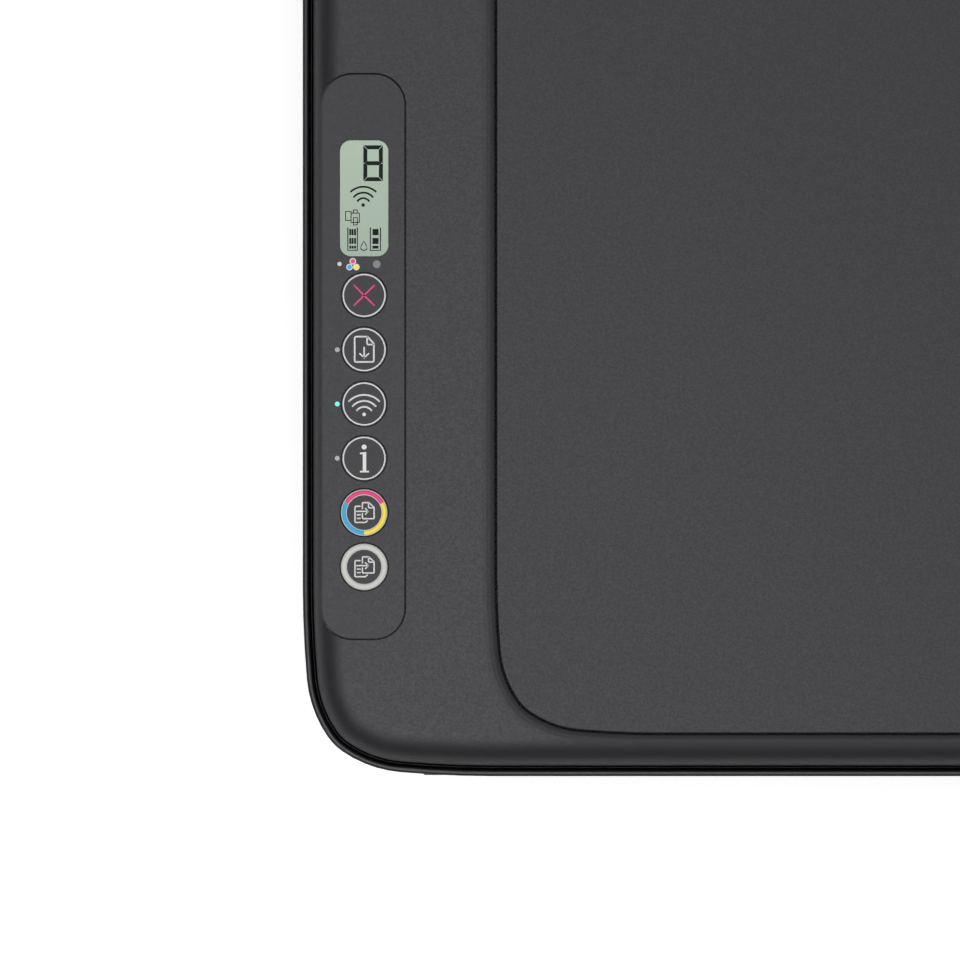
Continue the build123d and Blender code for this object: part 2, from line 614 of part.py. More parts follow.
# ============================================================== paper transport
BEND_Z = PAPER_LEVEL + CHUTE_RADIUS
BEND_START_Z = BEND_Z - CHUTE_RADIUS * cos(radians(CHUTE_ANGLE))
BEND_START_Y = CHUTE_TOP_Y - (CHUTE_TOP_Z - BEND_START_Z) / tan(radians(CHUTE_ANGLE))
BEND_Y = BEND_START_Y - CHUTE_RADIUS * sin(radians(CHUTE_ANGLE))
CHUTE_FRONT = 43.0
STAND_OFF = 10.0
PICKUP_REACH = CHUTE_RADIUS - PICKUP_RADIUS - 0.3
PICKUP_Y = BEND_Y + PICKUP_REACH * sin(radians(CHUTE_ANGLE))
PICKUP_Z = BEND_Z - PICKUP_REACH * cos(radians(CHUTE_ANGLE))


def chute_band(x, near, far):
    """Band along the paper's path, from near to far below the sheet, across X."""
    slope = radians(CHUTE_ANGLE)
    down = (-cos(slope), -sin(slope))
    below = (sin(slope), -cos(slope))
    with BuildSketch(Plane.YZ.offset(x)) as band:
        with BuildLine():
            upper = Line(
                (CHUTE_TOP_Y + near * below[0], CHUTE_TOP_Z + near * below[1]),
                (BEND_START_Y + near * below[0], BEND_START_Z + near * below[1]),
            )
            bend = JernArc(upper @ 1, down, CHUTE_RADIUS + near, -CHUTE_ANGLE)
            flat = Line(bend @ 1, (CHUTE_FRONT, PAPER_LEVEL - near))
            edge = Line(flat @ 1, (CHUTE_FRONT, PAPER_LEVEL - far))
            under = Line(edge @ 1, (BEND_Y, PAPER_LEVEL - far))
            back = JernArc(under @ 1, (1, 0), CHUTE_RADIUS + far, CHUTE_ANGLE)
            rear = Line(
                back @ 1,
                (CHUTE_TOP_Y + far * below[0], CHUTE_TOP_Z + far * below[1]),
            )
            Line(rear @ 1, upper @ 0)
        make_face()
    return band.sketch


with BuildPart() as paper_chute:
    # legs down to the pan
    for x in (CHUTE_LEFT + 6, CHUTE_RIGHT - 12):
        block((x, x + 6), (76, 108), (PAN_FLOOR, 66))
    rod("x", CHUTE_RADIUS + 1, (CHUTE_LEFT, CHUTE_RIGHT), (BEND_Y, BEND_Z), Mode.SUBTRACT)
    extrude(chute_band(CHUTE_LEFT, 0, CHUTE_THICKNESS), amount=CHUTE_WIDTH, dir=(1, 0, 0))
    for x in (CHUTE_LEFT, CHUTE_RIGHT - CHEEK):
        extrude(chute_band(x, -STAND_OFF, CHUTE_THICKNESS), amount=CHEEK, dir=(1, 0, 0))
        # bearing for the pickup roller's shaft
        block((x, x + CHEEK), (PICKUP_Y - 6, PICKUP_Y + 14), (PICKUP_Z - 6, PICKUP_Z + 6))
    rod("x", 3 + RUN, (CHUTE_LEFT, CHUTE_RIGHT), (PICKUP_Y, PICKUP_Z), Mode.SUBTRACT)
keep(paper_chute, "paper_chute")

with BuildPart() as pickup_roller:
    rod("x", PICKUP_RADIUS, (PAPER_X - 20, PAPER_X + 20), (PICKUP_Y, PICKUP_Z))
    rod("x", 3, (CHUTE_LEFT - 1, CHUTE_RIGHT + 1), (PICKUP_Y, PICKUP_Z))
keep(pickup_roller, "pickup_roller")

GUIDE_X = PAPER_X - PAPER_WIDTH / 2
with BuildPart() as width_guide:
    with BuildSketch(slope_plane(GUIDE_X - 2)):
        with Locations((4, -0.3)):
            Rectangle(36, 9, align=(Align.MIN, Align.MAX))
    extrude(amount=2)
    with BuildSketch(slope_plane(GUIDE_X - 10)):
        with Locations((8, -0.3)):
            Rectangle(26, 1.5, align=(Align.MIN, Align.MAX))
    extrude(amount=9)
keep(width_guide, "width_guide")

PLATE_PLACES = (PLATE_LEFT, PLATE_RIGHT)
with BuildPart() as side_plates:
    for x in PLATE_PLACES:
        with BuildSketch(Plane.YZ.offset(x)):
            with BuildLine():
                Polyline(
                    (-50, PAN_FLOOR + 0.4),
                    (60, PAN_FLOOR + 0.4),
                    (60, PAPER_LEVEL - 0.5),
                    (-30, PAPER_LEVEL - 0.5),
                    (-30, 54),
                    (-50, 54),
                    close=True,
                )
            make_face()
        extrude(amount=PLATE_THICKNESS)
        span = (x - 1, x + PLATE_THICKNESS + 1)
        rod("x", FEED_SHAFT + RUN, span, (FEED_Y, FEED_Z), Mode.SUBTRACT)
        rod("x", EXIT_SHAFT + RUN, span, (EXIT_Y, EXIT_Z), Mode.SUBTRACT)
    left_span = (PLATE_LEFT - 1, PLATE_LEFT + PLATE_THICKNESS + 1)
    rod("x", 4, left_span, (MOTOR_Y, MOTOR_Z), Mode.SUBTRACT)
    rod("x", 2, (GEAR_LEFT - 0.5, PLATE_LEFT + 1), (IDLER_Y, IDLER_Z))
    block((PLATE_LEFT, PLATE_RIGHT + PLATE_THICKNESS), (62 - 12, 62 - 4), (PAN_FLOOR + 0.4, PAN_FLOOR + 2.4))
keep(side_plates, "side_plates")

with BuildPart() as platen:
    inner = (PLATE_LEFT + PLATE_THICKNESS + 0.4, PLATE_RIGHT - 0.4)
    block(inner, (EXIT_Y + 6, FEED_Y - FEED_RADIUS - 1), (PAPER_LEVEL - 3.5, PAPER_LEVEL - 0.5))
    for x in range(-120, 100, 20):
        block((x, x + 2), (-24, 12), (PAPER_LEVEL - 1, PAPER_LEVEL - 0.1))
    block(inner, (TRAY_BACK + 2, TRAY_BACK + 6), (PAN_FLOOR + 10.4, PAPER_LEVEL - 3))
keep(platen, "platen")

with BuildPart() as feed_roller:
    rod("x", FEED_RADIUS, (PLATE_LEFT + 3, PLATE_RIGHT - 1), (FEED_Y, FEED_Z))
    rod("x", FEED_SHAFT, (GEAR_LEFT - 1, PLATE_RIGHT + 4), (FEED_Y, FEED_Z))
keep(feed_roller, "feed_roller")

with BuildPart() as output_roller:
    rod("x", EXIT_RADIUS, (PLATE_LEFT + 3, PLATE_RIGHT - 1), (EXIT_Y, EXIT_Z))
    rod("x", EXIT_SHAFT, (GEAR_LEFT - 1, PLATE_RIGHT + 4), (EXIT_Y, EXIT_Z))
keep(output_roller, "output_roller")


def gear(teeth, turn, y, z, bore, recess):
    """Spur gear on the drive plane, with a bore and thinned sides."""
    plane = Plane(origin=(GEAR_LEFT, y, z), x_dir=(0, 1, 0), z_dir=(1, 0, 0))
    with BuildPart() as wheel:
        extrude(gear_outline(teeth, turn, plane), amount=GEAR_WIDTH, dir=(1, 0, 0))
        if recess:
            rod("x", MODULE * teeth / 2 - 3, (GEAR_LEFT - 1, GEAR_LEFT + 2), (y, z), Mode.SUBTRACT)
            rod("x", bore + 3, (GEAR_LEFT, GEAR_LEFT + GEAR_WIDTH), (y, z))
        rod("x", bore, (GEAR_LEFT - 1, GEAR_RIGHT + 1), (y, z), Mode.SUBTRACT)
    return wheel


# gear train: the feed roller's gear drives the idler, which drives the output gear
to_idler = atan2(IDLER_Z - FEED_Z, IDLER_Y - FEED_Y)
idler_turn = mesh_turn(SMALL_TEETH, FEED_TEETH, 0, to_idler)
exit_turn = mesh_turn(EXIT_TEETH, SMALL_TEETH, idler_turn, to_idler)
to_motor = atan2(MOTOR_Z - FEED_Z, MOTOR_Y - FEED_Y)
pinion_turn = mesh_turn(SMALL_TEETH, FEED_TEETH, 0, to_motor)
keep(gear(FEED_TEETH, 0, FEED_Y, FEED_Z, FEED_SHAFT, True), "feed_gear")
keep(gear(SMALL_TEETH, idler_turn, IDLER_Y, IDLER_Z, 2 + RUN, False), "idler_gear")
keep(gear(EXIT_TEETH, exit_turn, EXIT_Y, EXIT_Z, EXIT_SHAFT, True), "output_gear")
keep(gear(SMALL_TEETH, pinion_turn, MOTOR_Y, MOTOR_Z, 1.5, False), "motor_pinion")

with BuildPart() as feed_motor:
    motor_left = PLATE_LEFT + PLATE_THICKNESS
    rod("x", 12, (motor_left, motor_left + 26), (MOTOR_Y, MOTOR_Z))
    rod("x", 3.5, (motor_left - 1.5, motor_left), (MOTOR_Y, MOTOR_Z))
    rod("x", 1.5 - RUN, (GEAR_LEFT, motor_left), (MOTOR_Y, MOTOR_Z))
keep(feed_motor, "feed_motor")

PINCH_Z = PAPER_LEVEL + PINCH_RADIUS + 0.2
PINCH_PLACES = [-108, -62, -16, 30, 76]
with BuildPart() as pinch_rollers:
    rod("x", 1.2, (PINCH_PLACES[0] - 16, PINCH_PLACES[-1] + 16), (FEED_Y + 2, PINCH_Z))
    for x in PINCH_PLACES:
        rod("x", PINCH_RADIUS, (x - 12, x + 12), (FEED_Y + 2, PINCH_Z))
keep(pinch_rollers, "pinch_rollers")

STAR_Z = PAPER_LEVEL + STAR_RADIUS + 0.3
STAR_PLACES = [-118, -85, -52, -19, 14, 47, 80]
with BuildPart() as star_wheels:
    rod("x", 1.2, (STAR_PLACES[0] - 12, STAR_PLACES[-1] + 12), (EXIT_Y, STAR_Z))
    for x in STAR_PLACES:
        rod("x", STAR_RADIUS, (x - 0.5, x + 0.5), (EXIT_Y, STAR_Z))
keep(star_wheels, "star_wheels")

with BuildPart() as exit_guide:
    block((PLATE_LEFT, PLATE_RIGHT + PLATE_THICKNESS), (-48, -32), (54, 56))
    block((PLATE_LEFT + 4, PLATE_RIGHT - 2), (-48, -46), (48, 55))
    for x in (STAR_PLACES[0] - 10, STAR_PLACES[3] + 14, STAR_PLACES[-1] + 8):
        block((x, x + 2), (-47, -31.5), (STAR_Z - 2.5, 55))
    rod("x", 1.2 + RUN, (-140, 100), (EXIT_Y, STAR_Z), Mode.SUBTRACT)
keep(exit_guide, "exit_guide")

# ================================================================ print carriage
RAIL_ENDS = (LEFT + 9.0, RIGHT - 10.5)
with BuildPart() as chassis_rail:
    block((RAIL_ENDS[0], RAIL_ENDS[1] + 1.5), (RAIL_Y, RAIL_Y + RAIL_THICKNESS), (46, 106))
    # clears the feed gear
    block((RAIL_ENDS[0] + 1.5, PLATE_LEFT + 3), (RAIL_Y - 1, RAIL_Y + 5), (40, 62), Mode.SUBTRACT)
    for x in RAIL_ENDS:
        block((x, x + 1.5), (14, RAIL_Y + 20), (PAN_FLOOR + 0.4, 76))
        block((x, x + 1.5), (RAIL_Y - 6, RAIL_Y + 20), (70, 106))
    # arms that carry the pinch rollers
    block((PINCH_PLACES[0] - 18, PINCH_PLACES[-1] + 18), (FEED_Y + 6.2, RAIL_Y + 1), (46, 48))
    for x in [PINCH_PLACES[0] - 15] + [place + 13 for place in PINCH_PLACES]:
        block((x, x + 2), (FEED_Y - 1, RAIL_Y), (PAPER_LEVEL + 1.2, 48))
    rod("x", 1.2 + RUN, (-140, 110), (FEED_Y + 2, PINCH_Z), Mode.SUBTRACT)
    rod("x", ROD_RADIUS + 0.02, (LEFT, RIGHT), (ROD_Y, ROD_Z), Mode.SUBTRACT)
    # post for the belt idler, and the hole for the motor shaft
    rod("y", 2, (RAIL_Y - 7, RAIL_Y + 1), (PULLEY_LEFT, BELT_Z))
    rod("y", 4, (RAIL_Y - 1, RAIL_Y + 3), (PULLEY_RIGHT, BELT_Z), Mode.SUBTRACT)
keep(chassis_rail, "chassis_rail")

with BuildPart() as guide_rod:
    rod("x", ROD_RADIUS, (RAIL_ENDS[0] - 1, RAIL_ENDS[1] + 2.5), (ROD_Y, ROD_Z))
keep(guide_rod, "guide_rod")

with BuildPart() as carriage_motor:
    rod("y", 12, (RAIL_Y + RAIL_THICKNESS, RAIL_Y + 24), (PULLEY_RIGHT, BELT_Z))
    rod("y", 3.5, (RAIL_Y + 0.2, RAIL_Y + 3), (PULLEY_RIGHT, BELT_Z))
    rod("y", 1.5 + RUN, (RAIL_Y - 2, RAIL_Y + 10), (PULLEY_RIGHT, BELT_Z), Mode.SUBTRACT)
keep(carriage_motor, "carriage_motor")

BELT_Y = RAIL_Y - 4
with BuildPart() as carriage_pulley:
    rod("y", PULLEY_RADIUS, (BELT_Y - 2.5, BELT_Y + 2.5), (PULLEY_RIGHT, BELT_Z))
    rod("y", 1.5, (BELT_Y - 3.5, RAIL_Y + 9), (PULLEY_RIGHT, BELT_Z))
    rod("y", 7.6, (BELT_Y - 3.5, BELT_Y - 2.7), (PULLEY_RIGHT, BELT_Z))
    rod("y", 3, (BELT_Y - 3, BELT_Y), (PULLEY_RIGHT, BELT_Z))
keep(carriage_pulley, "carriage_pulley")

with BuildPart() as belt_idler:
    rod("y", PULLEY_RADIUS, (BELT_Y - 2.5, BELT_Y + 2.5), (PULLEY_LEFT, BELT_Z))
    rod("y", 2 + RUN, (BELT_Y - 5, BELT_Y + 5), (PULLEY_LEFT, BELT_Z), Mode.SUBTRACT)
keep(belt_idler, "belt_idler")


def belt_loop(plane, centres, radius, thickness, width):
    """Flat belt round two pulleys; plane holds the loop and is where its width starts."""
    with BuildPart() as loop:
        with BuildSketch(plane):
            for grow, mode in ((thickness, Mode.ADD), (0, Mode.SUBTRACT)):
                with Locations(((centres[0] + centres[1]) / 2, 0)):
                    SlotCenterToCenter(centres[1] - centres[0], 2 * (radius + grow), mode=mode)
        extrude(amount=width)
    return loop


belt_plane = Plane(origin=(0, BELT_Y + BELT_WIDTH / 2, BELT_Z), x_dir=(1, 0, 0), z_dir=(0, -1, 0))
belt = belt_loop(
    belt_plane, (PULLEY_LEFT, PULLEY_RIGHT), PULLEY_RADIUS + PULLEY_GAP, BELT_THICKNESS, BELT_WIDTH
)
keep(belt, "carriage_belt")

PEN_LEFT = CARRIAGE_PARK - CARRIAGE_WIDTH / 2
PEN_RIGHT = CARRIAGE_PARK + CARRIAGE_WIDTH / 2
PEN_FRONT = -28.0
PEN_BACK = 15.0
CARRIAGE_TOP = 100.0
CARRIAGE_BACK = 32.5
PEN_PLACES = (CARRIAGE_PARK - PEN_PITCH / 2, CARRIAGE_PARK + PEN_PITCH / 2)
with BuildPart() as carriage:
    block((PEN_LEFT, PEN_RIGHT), (PEN_FRONT, PEN_BACK + 2), (CARRIAGE_FLOOR, 84))
    block((PEN_LEFT, PEN_RIGHT), (PEN_BACK, CARRIAGE_BACK), (54, CARRIAGE_TOP))
    fillet(carriage.edges().filter_by(Axis.Z).group_by(Axis.Y)[0], 3)
    for x in PEN_PLACES:
        bay = (x - PEN_WIDTH / 2 - 0.5, x + PEN_WIDTH / 2 + 0.5)
        block(bay, (PEN_FRONT + 2, PEN_BACK), (CARRIAGE_FLOOR + 2, CARRIAGE_TOP), Mode.SUBTRACT)
        block((x - 12, x + 12), (-20, 8), (CARRIAGE_FLOOR - 1, CARRIAGE_FLOOR + 3), Mode.SUBTRACT)
    rod("x", ROD_RADIUS + RUN, (PEN_LEFT - 1, PEN_RIGHT + 1), (ROD_Y, ROD_Z), Mode.SUBTRACT)
    block((PEN_LEFT + 12, PEN_RIGHT - 12), (PEN_BACK + 2, CARRIAGE_BACK - 2), (76, CARRIAGE_TOP + 1), Mode.SUBTRACT)
    # jaws that hold the belt's lower run
    belt_low = BELT_Z - PULLEY_RADIUS - PULLEY_GAP - BELT_THICKNESS
    for z in (belt_low - 3.3, belt_low + BELT_THICKNESS + 0.3):
        block((CARRIAGE_PARK - 8, CARRIAGE_PARK + 8), (CARRIAGE_BACK - 1, BELT_Y + 3), (z, z + 3))
keep(carriage, "carriage")

for place, label in zip(PEN_PLACES, ("black_cartridge", "colour_cartridge")):
    with BuildPart() as cartridge:
        block(
            (place - PEN_WIDTH / 2, place + PEN_WIDTH / 2),
            (PEN_FRONT + 2.5, PEN_BACK - 0.5),
            (CARRIAGE_FLOOR + 2.4, 92),
        )
        fillet(cartridge.edges().filter_by(Axis.Z), 2.5)
        block((place - 11, place + 11), (-19, 7), (NOZZLE_Z, CARRIAGE_FLOOR + 3))
        block((place - 9, place + 9), (PEN_FRONT + 4, PEN_FRONT + 9), (91, 96))
    keep(cartridge, label)

with BuildPart() as service_base:
    block((117, 200), (-34, 36), (PAN_FLOOR + 0.4, 12))
    block((RIGHT - 86.5, RIGHT - 22.5), (-26, 12), (10, 36))
    fillet(service_base.edges().filter_by(Axis.Z).group_by(Axis.Z)[-1], 3)
    for x in PEN_PLACES:
        block((x - 11, x + 11), (-19, 7), (35, PAPER_LEVEL + 0.5))
        block((x - 9.5, x + 9.5), (-17.5, 5.5), (PAPER_LEVEL - 1, PAPER_LEVEL + 1), Mode.SUBTRACT)
keep(service_base, "service_base")

# ================================================================= output tray
LIP_FRONT = FRONT + 5.2
with BuildPart() as output_tray:
    sides = (MOUTH_LEFT + 3.5, MOUTH_RIGHT - 3.5)
    block(sides, (LIP_FRONT, TRAY_BACK), (TRAY_LEVEL, TRAY_LEVEL + TRAY_THICKNESS))
    block(sides, (LIP_FRONT, LIP_FRONT + 3), (TRAY_LEVEL, 24))
    fillet(output_tray.edges().filter_by(Axis.X).group_by(Axis.Z)[-1], 1.2)
    well = (PAPER_X - EXTENDER_WIDTH / 2 - 0.5, PAPER_X + EXTENDER_WIDTH / 2 + 0.5)
    tray_top = TRAY_LEVEL + TRAY_THICKNESS
    block(well, (LIP_FRONT - 5, LIP_FRONT + 10), (tray_top - 1.6, 30), Mode.SUBTRACT)
    block(well, (LIP_FRONT - 1, LIP_FRONT + EXTENDER_LENGTH + 0.5), (tray_top - 1.6, tray_top + 1), Mode.SUBTRACT)
keep(output_tray, "output_tray")

with BuildPart() as output_extender:
    plate = (PAPER_X - EXTENDER_WIDTH / 2, PAPER_X + EXTENDER_WIDTH / 2)
    block(plate, (LIP_FRONT, LIP_FRONT + EXTENDER_LENGTH), (tray_top - 1.4, tray_top + 0.4))
    block(plate, (LIP_FRONT, LIP_FRONT + 3), (tray_top - 1.4, 24))
    fillet(output_extender.edges().filter_by(Axis.X).group_by(Axis.Z)[-1], 1.2)
    rod("x", 14, (PAPER_X - 16, PAPER_X + 16), (LIP_FRONT, 32), Mode.SUBTRACT)
keep(output_extender, "output_extender")

with BuildPart() as power_button:
    rod("y", POWER_RADIUS, (FRONT + 0.2, FRONT + 6), (POWER_X, POWER_Z))
    fillet(power_button.faces().sort_by(Axis.Y)[0].edges(), 0.6)
    rod("y", POWER_RADIUS + 1.2, (FRONT + 3.6, FRONT + 5), (POWER_X, POWER_Z))
keep(power_button, "power_button")

# ============================================================ rear paper support
with BuildPart() as paper_support:
    block((FLAP_LEFT, FLAP_RIGHT), (FLAP_FRONT, FLAP_HINGE_Y), (DECK_TOP - 3.4, DECK_TOP))
    fillet(paper_support.edges().filter_by(Axis.Z).group_by(Axis.Y)[0], 3)
    rod("x", FLAP_RADIUS, (FLAP_LEFT, FLAP_RIGHT), (FLAP_HINGE_Y, FLAP_HINGE_Z))
    block((FLAP_LEFT + 3, FLAP_RIGHT - 3), (FLAP_HINGE_Y - 5, FLAP_HINGE_Y + 3.4), (DECK_TOP - 10, DECK_TOP - 2), Mode.SUBTRACT)
    rod("x", 2, (FLAP_LEFT - 3, FLAP_RIGHT + 3), (FLAP_HINGE_Y, FLAP_HINGE_Z))
    block((FLAP_LEFT + 3, FLAP_RIGHT - 3), (FLAP_HINGE_Y - 3, FLAP_HINGE_Y + 3), (DECK_TOP - 10, DECK_TOP - 2), Mode.SUBTRACT)
keep(paper_support, "paper_support")

# ================================================================ scanner unit
BED_UNDERSIDE = BED_TOP - BED_FLOOR
LID_MIDDLE_X = (LID_LEFT + LID_RIGHT) / 2
LID_HINGE_PLACES = (LID_MIDDLE_X - 110, LID_MIDDLE_X + 110)
EAR = 8.0
PANEL_TOP = DECK_TOP + PANEL_RISE
PANEL_SEAT = PANEL_TOP - PANEL_THICKNESS
KEY_PLACES = [(KEY_X, KEY_FIRST_Y - KEY_PITCH * step) for step in range(6)]
KEY_RADII = [KEY_RADIUS] * 4 + [COPY_KEY_RADIUS] * 2
LIGHT_PLACES = [(KEY_X - 7.8, y) for x, y in KEY_PLACES[1:4]]
DISPLAY_PLACE = (KEY_X, DISPLAY_BACK - DISPLAY_LENGTH / 2)
KEY_BOARD_Z = PANEL_SEAT - 8.2

with BuildPart() as scanner_frame:
    add(upper_block(0, UNIT_BOTTOM, DECK_TOP, shoulder=True))
    # thin lip round the bottom edge
    lip_top = UNIT_BOTTOM + UNIT_LIP_HEIGHT
    loft([case_outline(UNIT_INSET, UNIT_BOTTOM), case_outline(UNIT_INSET, lip_top)], ruled=True)
    add(upper_block(UNIT_WALL, UNIT_BOTTOM - 1, DECK_TOP - UNIT_ROOF), mode=Mode.SUBTRACT)
    # raised seat round the control panel, and the walls of the bed
    extrude(panel_outline(PAD_MARGIN, BED_TOP), amount=DECK_TOP - BED_TOP, dir=(0, 0, 1))
    extrude(
        lid_outline(-LID_GAP - BED_WALL, BED_UNDERSIDE),
        amount=DECK_TOP - UNIT_ROOF / 2 - BED_UNDERSIDE,
        dir=(0, 0, 1),
    )
    # back wall
    with BuildPart(mode=Mode.PRIVATE) as back_stock:
        block((LEFT, RIGHT), (FRAME_BACK - UNIT_WALL, FRAME_BACK), (UNIT_BOTTOM, DECK_TOP))
        add(upper_block(UNIT_WALL / 2, UNIT_BOTTOM - 1, DECK_TOP - UNIT_ROOF / 2), mode=Mode.INTERSECT)
    add(back_stock.part)
    add(half_space(FRAME_BACK, True), mode=Mode.SUBTRACT)
    # the lid's recess, with the glass seat in its floor
    extrude(lid_outline(-LID_GAP, BED_TOP), amount=20, dir=(0, 0, 1), mode=Mode.SUBTRACT)
    # the deck rolls down to the seam round the lid
    for (near, deep), (far, shallow) in zip(SEAM_ROLL, SEAM_ROLL[1:]):
        slope = [
            lid_outline(-LID_GAP - near, DECK_TOP - deep),
            lid_outline(-LID_GAP - far, DECK_TOP - shallow),
        ]
        loft(slope, ruled=True, mode=Mode.SUBTRACT)
    # square corners where the lid's rear edge swings
    block(
        (LID_LEFT - LID_GAP, LID_RIGHT + LID_GAP),
        (LID_HINGE_Y, LID_BACK + LID_GAP),
        (BED_TOP, CASE_HEIGHT + 1),
        Mode.SUBTRACT,
    )
    block(
        (GLASS_LEFT - 0.3, GLASS_RIGHT + 0.3),
        (GLASS_FRONT - 0.3, GLASS_BACK + 0.3),
        (BED_TOP - GLASS_THICKNESS, BED_TOP + 1),
        Mode.SUBTRACT,
    )
    block(
        (GLASS_LEFT + GLASS_LEDGE, GLASS_RIGHT - GLASS_LEDGE),
        (GLASS_FRONT + GLASS_LEDGE, GLASS_BACK - GLASS_LEDGE),
        (BED_UNDERSIDE - 1, BED_TOP),
        Mode.SUBTRACT,
    )
    # seat and opening for the control panel
    extrude(panel_outline(PANEL_GAP, PANEL_SEAT), amount=10, dir=(0, 0, 1), mode=Mode.SUBTRACT)
    extrude(panel_outline(-PANEL_LEDGE, BED_TOP - 5), amount=20, dir=(0, 0, 1), mode=Mode.SUBTRACT)
    # finger scoop in front of the lid, and the finger gap below the front edge
    rod("x", 9, (GRIP_X - 22, GRIP_X + 22), (LID_FRONT - 4, DECK_TOP + 4), Mode.SUBTRACT)
    # ears for the lid's hinges
    for x in LID_HINGE_PLACES:
        ear = (x - EAR / 2, x + EAR / 2)
        block(
            ear,
            (LID_HINGE_Y - LID_HINGE_RADIUS, LID_HINGE_Y + LID_HINGE_RADIUS),
            (BED_TOP - 1, LID_HINGE_Z),
        )
        rod("x", LID_HINGE_RADIUS, ear, (LID_HINGE_Y, LID_HINGE_Z))
        rod("x", 1.2, ear, (LID_HINGE_Y, LID_HINGE_Z), Mode.SUBTRACT)
    # door hinge: two knuckles at each place, and a groove for the housing's one
    for x in HINGE_PLACES:
        middle = (x - KNUCKLE / 2 - SEAM, x + KNUCKLE / 2 + SEAM)
        rod("x", DOOR_HINGE_RADIUS + 0.4, middle, (DOOR_HINGE_Y, DOOR_HINGE_Z), Mode.SUBTRACT)
        for near in (x - 1.5 * KNUCKLE, x + KNUCKLE / 2 + SEAM):
            knuckle = (near, near + KNUCKLE - SEAM)
            rod("x", DOOR_HINGE_RADIUS, knuckle, (DOOR_HINGE_Y, DOOR_HINGE_Z))
            block(
                knuckle,
                (FRAME_BACK - UNIT_WALL, DOOR_HINGE_Y),
                (DOOR_HINGE_Z - 2.2, DOOR_HINGE_Z + 2.2),
            )
            rod("x", 1.4, knuckle, (DOOR_HINGE_Y, DOOR_HINGE_Z), Mode.SUBTRACT)
keep(scanner_frame, "scanner_frame")

SCANNER_INSET = UNIT_INSET + UNIT_LIP + UNIT_WALL + 0.3
with BuildPart() as scanner_base:
    extrude(case_outline(SCANNER_INSET, SCANNER_FLOOR), amount=6, dir=(0, 0, 1))
    add(half_space(FRAME_BACK - UNIT_WALL - 0.3, True), mode=Mode.SUBTRACT)
    extrude(
        case_outline(SCANNER_INSET + 1.8, SCANNER_FLOOR + 1.8),
        amount=6,
        dir=(0, 0, 1),
        mode=Mode.SUBTRACT,
    )
    # posts for the scan rod, the idler pin and the motor
    for x in (-152.0, RIGHT - 13):
        block((x, x + 4), (SCAN_ROD_Y - 6, SCAN_ROD_Y + 6), (SCANNER_FLOOR + 1, SCAN_ROD_Z + 5))
    rod("x", SCAN_ROD_RADIUS + 0.02, (-160, RIGHT - 2.5), (SCAN_ROD_Y, SCAN_ROD_Z), Mode.SUBTRACT)
    rod("z", 3.4, (SCANNER_FLOOR + 1, SCAN_BELT_BOTTOM - 0.6), (SCAN_PULLEY_LEFT, SCAN_BELT_Y))
    rod("z", SCAN_PULLEY_RADIUS, (SCAN_BELT_BOTTOM - 0.6, SCAN_BELT_BOTTOM + 5), (SCAN_PULLEY_LEFT, SCAN_BELT_Y))
    block((RIGHT - 17, RIGHT - 14.5), (SCAN_BELT_Y - 7, SCAN_BELT_Y + 7), (SCANNER_FLOOR + 1, SCAN_BELT_BOTTOM + 6.4))
keep(scanner_base, "scanner_base")

with BuildPart() as scanner_glass:
    block((GLASS_LEFT, GLASS_RIGHT), (GLASS_FRONT, GLASS_BACK), (BED_TOP - GLASS_THICKNESS, BED_TOP))
keep(scanner_glass, "scanner_glass")

with BuildPart() as scan_rod:
    rod("x", SCAN_ROD_RADIUS, (-153, RIGHT - 8.5), (SCAN_ROD_Y, SCAN_ROD_Z))
keep(scan_rod, "scan_rod")

scan_plane = Plane.XY.offset(SCAN_BELT_BOTTOM).move(Location((0, SCAN_BELT_Y, 0)))
scan_loop = belt_loop(
    scan_plane,
    (SCAN_PULLEY_LEFT, SCAN_PULLEY_RIGHT),
    SCAN_PULLEY_RADIUS + PULLEY_GAP,
    SCAN_BELT_THICKNESS,
    SCAN_BELT_WIDTH,
)
keep(scan_loop, "scan_belt")

with BuildPart() as scan_pulley:
    rod("z", SCAN_PULLEY_RADIUS, (SCAN_BELT_BOTTOM, SCAN_BELT_BOTTOM + 5), (SCAN_PULLEY_RIGHT, SCAN_BELT_Y))
    rod("z", 1.5, (SCAN_BELT_BOTTOM - 1, SCAN_BELT_BOTTOM + 14), (SCAN_PULLEY_RIGHT, SCAN_BELT_Y))
keep(scan_pulley, "scan_pulley")

with BuildPart() as scan_motor:
    motor_bottom = SCAN_BELT_BOTTOM + 6.4
    rod("z", 9, (motor_bottom + 1.2, BED_UNDERSIDE - 1), (SCAN_PULLEY_RIGHT, SCAN_BELT_Y))
    block((RIGHT - 34.5, RIGHT - 14.5), (SCAN_BELT_Y - 7, SCAN_BELT_Y + 7), (motor_bottom, motor_bottom + 1.2))
    rod("z", 1.5 + RUN, (motor_bottom - 1, SCAN_BELT_BOTTOM + 15), (SCAN_PULLEY_RIGHT, SCAN_BELT_Y), Mode.SUBTRACT)
keep(scan_motor, "scan_motor")

